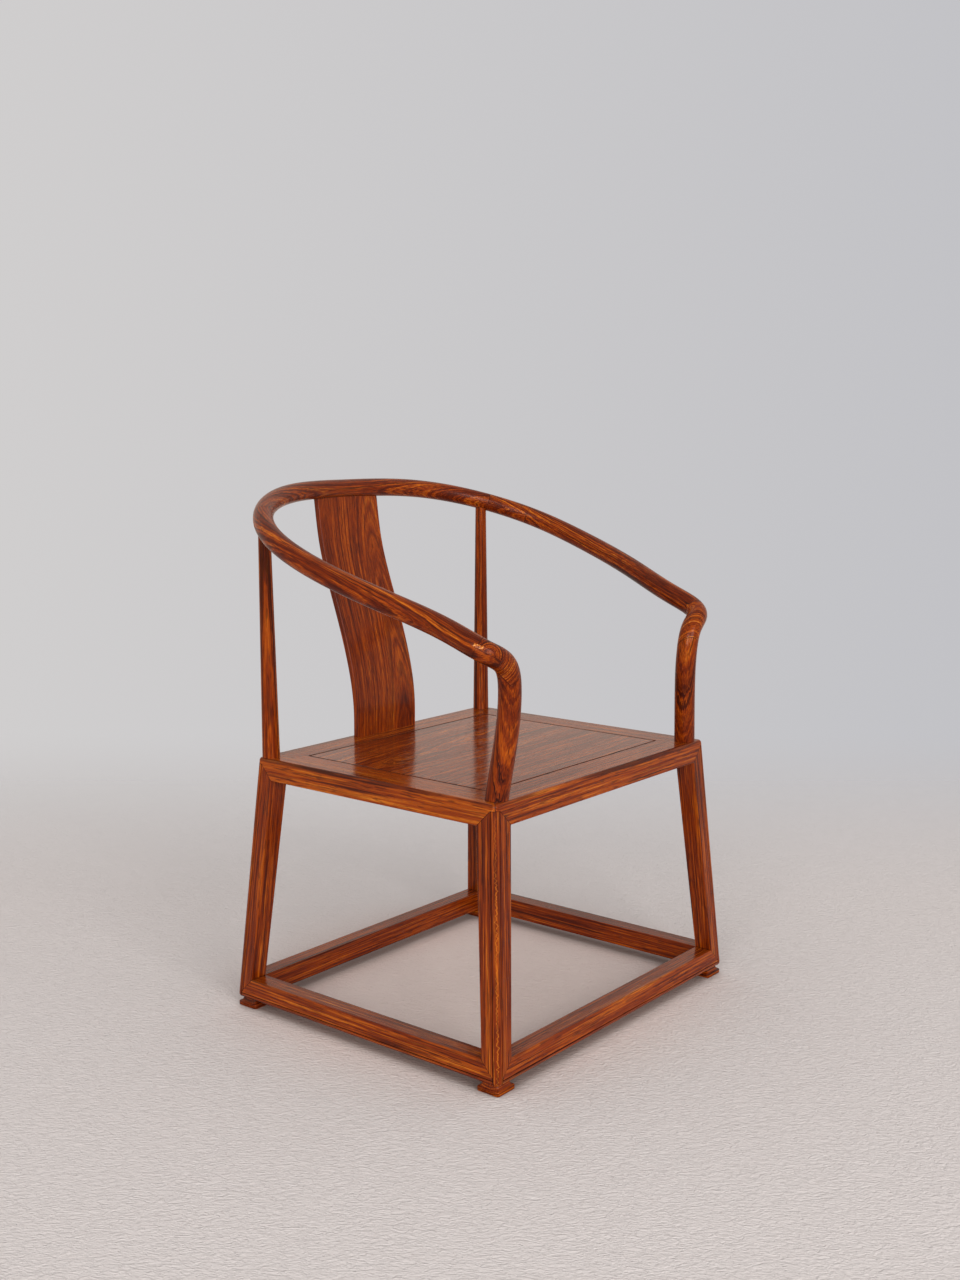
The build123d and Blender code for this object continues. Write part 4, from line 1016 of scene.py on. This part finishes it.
def rosewood_group():
    """Rosewood as a solid: growth zones round a pith that lies on the board's X axis.

    The distance from the pith, bent by slow and quick noise and made ragged by fine noise, goes
    through noises that are drawn out along X. Wide zones give the bands, narrow ones the streaks,
    and fine fibres and slow patches lie over both; shares of the four add up to the grain's colour.
    Veins, dark streaks, dashes and pores are laid over it where their own noise is low. A pale
    line of painted highlight can run down the middle of the face towards the pith.
    """
    tree = bpy.data.node_groups.new("rosewood", "ShaderNodeTree")
    face = tree.interface
    face.new_socket("Board", in_out="INPUT", socket_type="NodeSocketVector")
    for name, value in FIGURE.items():
        face.new_socket(name, in_out="INPUT", socket_type="NodeSocketFloat").default_value = value
    face.new_socket("Color", in_out="OUTPUT", socket_type="NodeSocketColor")
    face.new_socket("Roughness", in_out="OUTPUT", socket_type="NodeSocketFloat")
    face.new_socket("Height", in_out="OUTPUT", socket_type="NodeSocketFloat")
    n = Nodes(tree)
    given = n.add("NodeGroupInput").outputs
    board = given["Board"]
    x = n.add("ShaderNodeSeparateXYZ", {"Vector": board}).outputs["X"]

    def swayed(start, reach, along, across):
        """A place pushed across the grain by up to half of reach, by noise of cells in a metre."""
        at = n.vector("MULTIPLY", start, (along, across, across))
        noise = n.add("ShaderNodeTexNoise", {"Vector": at, "Scale": 1.0, "Detail": 1.0}).outputs["Color"]
        push = n.vector("MULTIPLY", n.vector("SUBTRACT", noise, (0.5, 0.5, 0.5)), (0, reach, reach))
        scaled = n.add("ShaderNodeVectorMath", {0: push, "Scale": given["wave"]}, operation="SCALE")
        return n.vector("ADD", start, scaled.outputs["Vector"])

    def stretched(along, across, detail=2.0):
        """Noise drawn out along the fibres, by its cells in a metre each way."""
        return n.noise(n.vector("MULTIPLY", board, (along, across, across)), detail)

    slow = swayed(board, reach=0.014, along=5.0, across=14.0)
    curved = swayed(slow, reach=0.005, along=30.0, across=60.0)
    _, side, up = n.add("ShaderNodeSeparateXYZ", {"Vector": curved}).outputs
    radius = n.math("SQRT", n.math("ADD", n.math("MULTIPLY", side, side), n.math("MULTIPLY", up, up)))
    ragged = n.math("SUBTRACT", stretched(12.0, 460.0, detail=1.0), 0.5)
    radius = n.math("MULTIPLY_ADD", ragged, given["ragged"], radius)

    def zones(along, across, detail=2.0, roughness=0.5):
        """Noise that is the same all round the pith, by its cells in a metre along and outwards."""
        place = n.join(n.math("MULTIPLY", x, along), n.math("MULTIPLY", radius, across), 0.0)
        return n.noise(place, detail, roughness)

    wide = n.span(zones(1.5, 85.0, detail=1.0), 0.34, 0.66)
    narrow = n.span(zones(4.0, 500.0), 0.32, 0.68)
    fine = n.span(stretched(16.0, 900.0), 0.32, 0.68)
    patch = n.span(stretched(7.0, 60.0), 0.3, 0.7)
    grain = n.math("MULTIPLY", wide, WIDE_SHARE)
    for part, share in ((narrow, NARROW_SHARE), (fine, FINE_SHARE), (patch, PATCH_SHARE)):
        grain = n.math("MULTIPLY_ADD", part, share, grain)
    grain = n.math("MULTIPLY", n.math("SUBTRACT", grain, 0.5), given["contrast"])
    grain = n.math("ADD", grain, n.math("ADD", given["tone"], 0.5), clamp=True)
    colour = n.ramp(grain, GRAIN_COLOURS)

    # dark veins where a zone turns
    vein = n.mark(zones(2.0, 210.0, roughness=0.6), 0.36, 0.46)
    vein = n.math("MULTIPLY", vein, n.span(zones(0.8, 40.0, detail=1.0), 0.40, 0.58), clamp=True)
    vein = n.math("MULTIPLY", vein, given["veins"], clamp=True)
    colour = n.mix(n.math("MULTIPLY", vein, VEIN_COVER), colour, VEIN)

    # thin dark streaks that come and go along the fibres
    streak = n.mark(zones(3.0, 560.0, detail=1.0), 0.34, 0.45)
    streak = n.math("MULTIPLY", streak, n.span(stretched(9.0, 30.0, detail=1.0), 0.3, 0.6))
    cover = n.math("MULTIPLY", given["veins"], STREAK_COVER)
    colour = n.mix(n.math("MULTIPLY", streak, cover, clamp=True), colour, VEIN)

    # a painted highlight: a pale line that wriggles down the middle of the face towards the pith
    middle = n.math("MULTIPLY", n.math("SUBTRACT", side, up), 0.707)
    steps = n.join(n.math("MULTIPLY", x, 150.0), 0.0, 0.0)
    wriggle = n.math("SUBTRACT", n.noise(steps, detail=1.0), 0.5)
    apart = n.math("ABSOLUTE", n.math("MULTIPLY_ADD", wriggle, HIGHLIGHT_LINE_SWAY, middle))
    painted_highlight = n.math("MULTIPLY", n.mark(apart, *HIGHLIGHT_LINE_HALF_WIDTH), given["painted_highlight"])
    painted_highlight = n.math("MULTIPLY", painted_highlight, n.span(stretched(11.0, 30.0), 0.4, 0.6))
    colour = n.mix(painted_highlight, colour, LIGHT)

    # dashes along the fibres, and the pores among them
    dash = n.mark(stretched(30.0, 450.0, detail=1.0), 0.34, 0.43)
    colour = n.mix(n.math("MULTIPLY", dash, DASH_COVER), colour, VEIN)
    pore = n.mark(stretched(70.0, 2000.0, detail=1.0), 0.31, 0.40)
    colour = n.mix(n.math("MULTIPLY", pore, PORE_COVER), colour, VEIN)

    height = n.math("SUBTRACT", n.math("MULTIPLY", fine, 0.25), pore)
    rough = n.math("ADD", n.span(grain, 0.1, 0.9, 0.18, 0.12), n.math("MULTIPLY", pore, 0.15))
    n.add("NodeGroupOutput", {"Color": colour, "Roughness": rough, "Height": height})
    return tree


ROSEWOOD = rosewood_group()


def rosewood(name, grain, pith, shift, polish=POLISH, matt=0.0, bent=False, **figure):
    """Oiled rosewood cut from a board whose grain runs along one direction past a pith point.

    shift slides the board along its grain. Where the wood is bent, the board's own places, kept on
    the piece, stand in for those in space. matt is added to the roughness. The figure's own words
    are wave and ragged for how the zones wander, veins for how much of the veins shows, one more for
    how strongly the pale line of painted highlight shows, and tone and contrast for the grain's colours.
    """
    material = bpy.data.materials.new(name)
    n = cleared_nodes(material)
    along = Vector(grain).normalized()
    up = Vector((0, 0, 1)) if abs(along.z) < 0.8 else Vector((0, 1, 0))
    across = along.cross(up).normalized()
    turn = Matrix((along, across, along.cross(across)))
    start = Vector((shift, 0, 0)) - turn @ Vector(pith)
    if bent:
        place = n.add("ShaderNodeAttribute", attribute_name="board").outputs["Vector"]
    else:
        place = n.add("ShaderNodeTexCoord").outputs["Object"]
    values = {"Vector": place, "Location": start, "Rotation": turn.to_euler("XYZ")}
    board = n.add("ShaderNodeMapping", values).outputs["Vector"]
    wood = n.add("ShaderNodeGroup", node_tree=ROSEWOOD)
    for socket, value in ({"Board": board} | FIGURE | figure).items():
        n.put(wood.inputs[socket], value)
    # crevice darkens the joints and sunk lines, and paints shade down the gap round the panel
    crevice = n.add("ShaderNodeAttribute", attribute_name="crevice").outputs["Fac"]
    cover = n.math("MULTIPLY", crevice, CREVICE_COVER)
    relief = {"Height": wood.outputs["Height"], "Strength": GRAIN_STRENGTH, "Distance": GRAIN_DEPTH}
    surface = {
        "Base Color": n.mix(cover, wood.outputs["Color"], SEAM_AND_SHADE_COLOUR),
        "Roughness": n.math("ADD", wood.outputs["Roughness"], matt),
        "Normal": n.add("ShaderNodeBump", relief).outputs["Normal"],
        "IOR": polish,
    }
    shader = n.add("ShaderNodeBsdfPrincipled", surface)
    n.add("ShaderNodeOutputMaterial", {"Surface": shader.outputs["BSDF"]})
    return material


# ---------------------------------------------------------------- floor, world and lights
VIEW_AHEAD = (0.78, 0.63, 0.0)   # over the floor, from the camera past the chair
VIEW_RIGHT = (0.63, -0.78, 0.0)
FLOOR_REACH = 40.0
FLOOR_COLOUR = srgb(231, 221, 216)
# painted warm bounce light on the floor under the chair
FLOOR_PAINTED_BOUNCE = srgb(241, 223, 214)
# painted contact shadow: the floor's colour close under and beside the pieces
FLOOR_PAINTED_SHADOW = srgb(120, 92, 80)
PAINTED_BOUNCE_SPAN = (0.2, 0.55)      # metres from the chair's middle, over which the warm floor fades
PAINTED_SHADOW_REACH = 0.045           # metres within which a piece darkens the floor
PAINTED_SHADOW_COVER = 0.75
RIPPLE_DEPTH = 0.0035
FADE_AHEAD = (0.3, 2.3)      # metres past the chair, and metres all round it
FADE_ROUND = (2.5, 7.0)
BACKDROP_LEFT = srgb(208, 206, 206)
BACKDROP_RIGHT = srgb(194, 194, 198)
BACKDROP_HALF = 0.32         # sideways part of the way looked in at either end of the backdrop
MIRRORED_COLOUR = srgb(229, 211, 198)
SKY_COLOUR = (0.97, 0.98, 1.0, 1.0)
SKY_STRENGTH = 0.56
LAMP_AIM = (0, 0, 0.3)
LAMP_SIZE = 5.0
LAMPS = (("key", (-3.6, -8.8, 3.7), 450), ("fill", (-8.9, -4.6, 3.7), 400))   # place and watts


def make_floor():
    """A pale, finely creased floor that fades into the backdrop far from the chair.

    It has painted warm bounce light under the chair, and painted contact shadow in the nooks where a
    piece stands close.
    """
    corners = [(FLOOR_REACH * x, FLOOR_REACH * y, 0) for x, y in ((-1, -1), (1, -1), (1, 1), (-1, 1))]
    mesh = bpy.data.meshes.new("floor")
    mesh.from_pydata(corners, [], [(0, 1, 2, 3)])
    floor = bpy.data.objects.new("floor", mesh)
    bpy.context.scene.collection.objects.link(floor)
    material = bpy.data.materials.new("floor")
    n = cleared_nodes(material)
    place = n.add("ShaderNodeTexCoord").outputs["Object"]
    away = n.vector("DOT_PRODUCT", place, VIEW_AHEAD, "Value")
    across = n.vector("DOT_PRODUCT", place, VIEW_RIGHT, "Value")
    ripples = n.join(n.math("MULTIPLY", across, 85.0), n.math("MULTIPLY", away, 190.0), 0.0)
    creases = n.noise(ripples, roughness=0.6, distortion=1.2)
    bump = n.add("ShaderNodeBump", {"Height": creases, "Strength": 1.0, "Distance": RIPPLE_DEPTH})
    reach = n.add("ShaderNodeVectorMath", {0: place}, operation="LENGTH").outputs["Value"]
    # painted warm bounce light under the chair, fading outwards
    colour = n.mix(n.span(reach, *PAINTED_BOUNCE_SPAN), FLOOR_PAINTED_BOUNCE, FLOOR_COLOUR)
    # painted contact shadow where a piece stands close to the floor
    painted_contact_shadow = n.add("ShaderNodeAmbientOcclusion", {"Distance": PAINTED_SHADOW_REACH}).outputs["AO"]
    colour = n.mix(n.span(painted_contact_shadow, 0.25, 0.85, PAINTED_SHADOW_COVER, 0.0), colour, FLOOR_PAINTED_SHADOW)
    paint = n.add("ShaderNodeBsdfDiffuse", {"Color": colour, "Normal": bump.outputs["Normal"]})
    clear = n.add("ShaderNodeBsdfTransparent")
    fade = n.math("MAXIMUM", n.span(away, *FADE_AHEAD), n.span(reach, *FADE_ROUND))
    shade = n.mix_shaders(fade, paint, clear)
    n.add("ShaderNodeOutputMaterial", {"Surface": shade.outputs[0]})
    mesh.materials.append(material)


def make_world():
    """An even sky for light; what is seen of it is the backdrop's own grey, and what is mirrored is a
    warmer pale colour.
    """
    world = bpy.data.worlds.new("studio")
    bpy.context.scene.world = world
    n = cleared_nodes(world)
    ray = n.add("ShaderNodeLightPath").outputs
    seen = n.math("ADD", ray["Is Camera Ray"], ray["Is Glossy Ray"], clamp=True)
    seen = n.math("ADD", seen, ray["Is Transmission Ray"], clamp=True)
    way = n.add("ShaderNodeTexCoord").outputs["Generated"]
    x, y, _ = n.add("ShaderNodeSeparateXYZ", {"Vector": way}).outputs
    rightwards = n.math("MULTIPLY_ADD", x, VIEW_RIGHT[0], n.math("MULTIPLY", y, VIEW_RIGHT[1]))
    rightwards = n.span(rightwards, -BACKDROP_HALF, BACKDROP_HALF, smooth=False)
    colour = n.mix(rightwards, BACKDROP_LEFT, BACKDROP_RIGHT)
    light = n.add("ShaderNodeBackground", {"Color": SKY_COLOUR, "Strength": SKY_STRENGTH})
    backdrop = n.add("ShaderNodeBackground", {"Color": colour, "Strength": 1.0})
    mirrored = n.add("ShaderNodeBackground", {"Color": MIRRORED_COLOUR, "Strength": 1.0})
    shown = n.mix_shaders(ray["Is Glossy Ray"], backdrop, mirrored)
    both = n.mix_shaders(seen, light, shown)
    n.add("ShaderNodeOutputWorld", {"Surface": both.outputs[0]})


def softbox(name, place, power):
    """A square area lamp that faces the chair."""
    data = bpy.data.lights.new(name, "AREA")
    data.shape = "SQUARE"
    data.size = LAMP_SIZE
    data.energy = power
    lamp = bpy.data.objects.new(name, data)
    lamp.location = place
    lamp.rotation_euler = (Vector(LAMP_AIM) - Vector(place)).to_track_quat("-Z", "Y").to_euler()
    bpy.context.scene.collection.objects.link(lamp)


make_camera()
make_floor()
make_world()
for lamp in LAMPS:
    softbox(*lamp)
bpy.context.scene.view_settings.view_transform = "Standard"

# ---------------------------------------------------------------- wood of each piece
WOODS = {
    "leg": {"wave": 0.25, "tone": -0.05},
    "seat_rail": {"wave": 0.15, "contrast": 0.9},
    "base_rail": {"wave": 0.15, "contrast": 0.9},
    "foot": {"wave": 0.3, "tone": -0.1},
    "seat_panel": {"wave": 0.9, "veins": 0.9, "tone": -0.06, "contrast": 0.95},
    "seat_batten": {},
    "back_splat": {"wave": 0.16, "veins": 0.7, "tone": -0.13, "contrast": 0.95},
    "crest_rail": {"wave": 0.4, "tone": -0.2, "contrast": 1.25, "ragged": 0.002},
    "arm_rail": {"wave": 0.6, "veins": 1.2, "tone": -0.15, "contrast": 1.2, "ragged": 0.002},
    "elbow": {"wave": 0.4, "tone": -0.12, "contrast": 1.3},
    "scarf_pin": {"veins": 0.0, "tone": 0.02},
    "front_post": {"wave": 0.2, "veins": 1.8, "tone": -0.14, "contrast": 0.95, "ragged": 0.0045},
    "back_post": {"wave": 0.25},
}

# the panel is polished most, and the rail and posts are worn softer by hands
FINISHES = {
    "seat_panel": {"polish": 1.3, "matt": -0.05},
    "crest_rail": {"polish": 1.24, "matt": 0.1},
    "arm_rail": {"polish": 1.22, "matt": 0.1},
    "elbow": {"polish": 1.22, "matt": 0.06},
    "front_post": {"polish": 1.2},
    "back_post": {"polish": 1.2},
}

# what single pieces have of their own
OWN_WOODS = {
    # the near leg has a pale line of painted highlight down its rounded arris
    "leg_front_right": {"shift": 4.3, "painted_highlight": 0.6},
    "leg_front_left": {"shift": 6.3, "tone": -0.1},
    "leg_back_right": {"shift": 8.3},
    "leg_back_left": {"shift": 10.3},
    "seat_rail_right": {"tone": 0.08, "contrast": 0.7},
    "seat_rail_front": {"tone": -0.04},
    "base_rail_front": {"tone": -0.02},
    # painted shade: the right, back and left base rails are toned darker for the shade they lie in
    "base_rail_right": {"tone": -0.08},
    "base_rail_back": {"tone": -0.1},
    "base_rail_left": {"tone": -0.17},
    # the near elbow pin is toned pale as a painted highlight
    "scarf_pin_elbow_right": {"tone": 0.3},
    "front_post_left": {"wave": 0.35, "contrast": 0.85},
    "back_post_left": {"tone": -0.11},
}
BENT = ("back_splat", "crest_rail", "arm_rail", "front_post")
BOARD_STEP = 1.7             # metres between the boards of one piece and the next
POST_TILT = 0.15             # of a front post's grain towards its pith


def cut(node, kind):
    """How a piece lay in its log: the direction of its grain and a point of the pith, in metres.

    Both are in the chair's frame, or in the piece's own board where the wood is bent.
    """
    low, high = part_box(node)
    x, y, z = (low + high) / 2
    side = 1 if x > 0 else -1
    back = 1 if y > 0 else -1
    if high.x - low.x > high.y - low.y:
        rail = ((1, 0, 0.004), (0, y - back * 0.12, z - 0.10))
    else:
        rail = ((0, 1, 0.004), (x - side * 0.12, 0, z - 0.10))
    out, ahead = (-0.25, 0.97) if side > 0 else (0.99, -0.1)
    post = ((1, POST_TILT * out, POST_TILT * ahead), (1.04, -0.035 * out, -0.035 * ahead))
    cuts = {
        "leg": ((-side * SLOPE, -back * SLOPE, 1), (x + side * 0.14, y + back * 0.14, z)),
        "seat_rail": rail,
        "base_rail": rail,
        "foot": ((1, 0, 0), (0, y, 0.06)),
        "seat_panel": ((1, 0.04, 0.03), (0, 0.03, z - 0.07)),
        "seat_batten": ((0, 1, 0), (x - 0.05, 0, z - 0.05)),
        "back_splat": ((1, 0.01, 0.05), (0.25, 0.05, 0.07)),
        "crest_rail": ((1, 0, 0), (0, -0.10, -0.06)),
        "arm_rail": ((1, 0, -0.03), (0, -0.11, -0.09 * side)),
        "elbow": ((side, -1, 0), (side * 0.3131, -0.2892, 0.6697)),
        "scarf_pin": ((1, 0, 0), (x, y, z + 0.03)),
        "front_post": post,
        "back_post": ((0, 0, 1), (x - side * 0.09, y + 0.09, z)),
    }
    return cuts[kind]


def dress(node, number):
    """Give the piece that stands for a CAD node, or else the node itself, its own wood."""
    kind = next(kind for kind in WOODS if node.startswith(kind))
    wood = {"shift": BOARD_STEP * number, "bent": kind in BENT}
    wood |= WOODS[kind] | FINISHES.get(kind, {}) | OWN_WOODS.get(node, {})
    mesh = PIECES.get(node, NODES[node]).data
    mesh.materials.clear()
    mesh.materials.append(rosewood(f"rosewood_{node}", *cut(node, kind), **wood))


for number, node in enumerate(sorted(NODES)):
    dress(node, number)
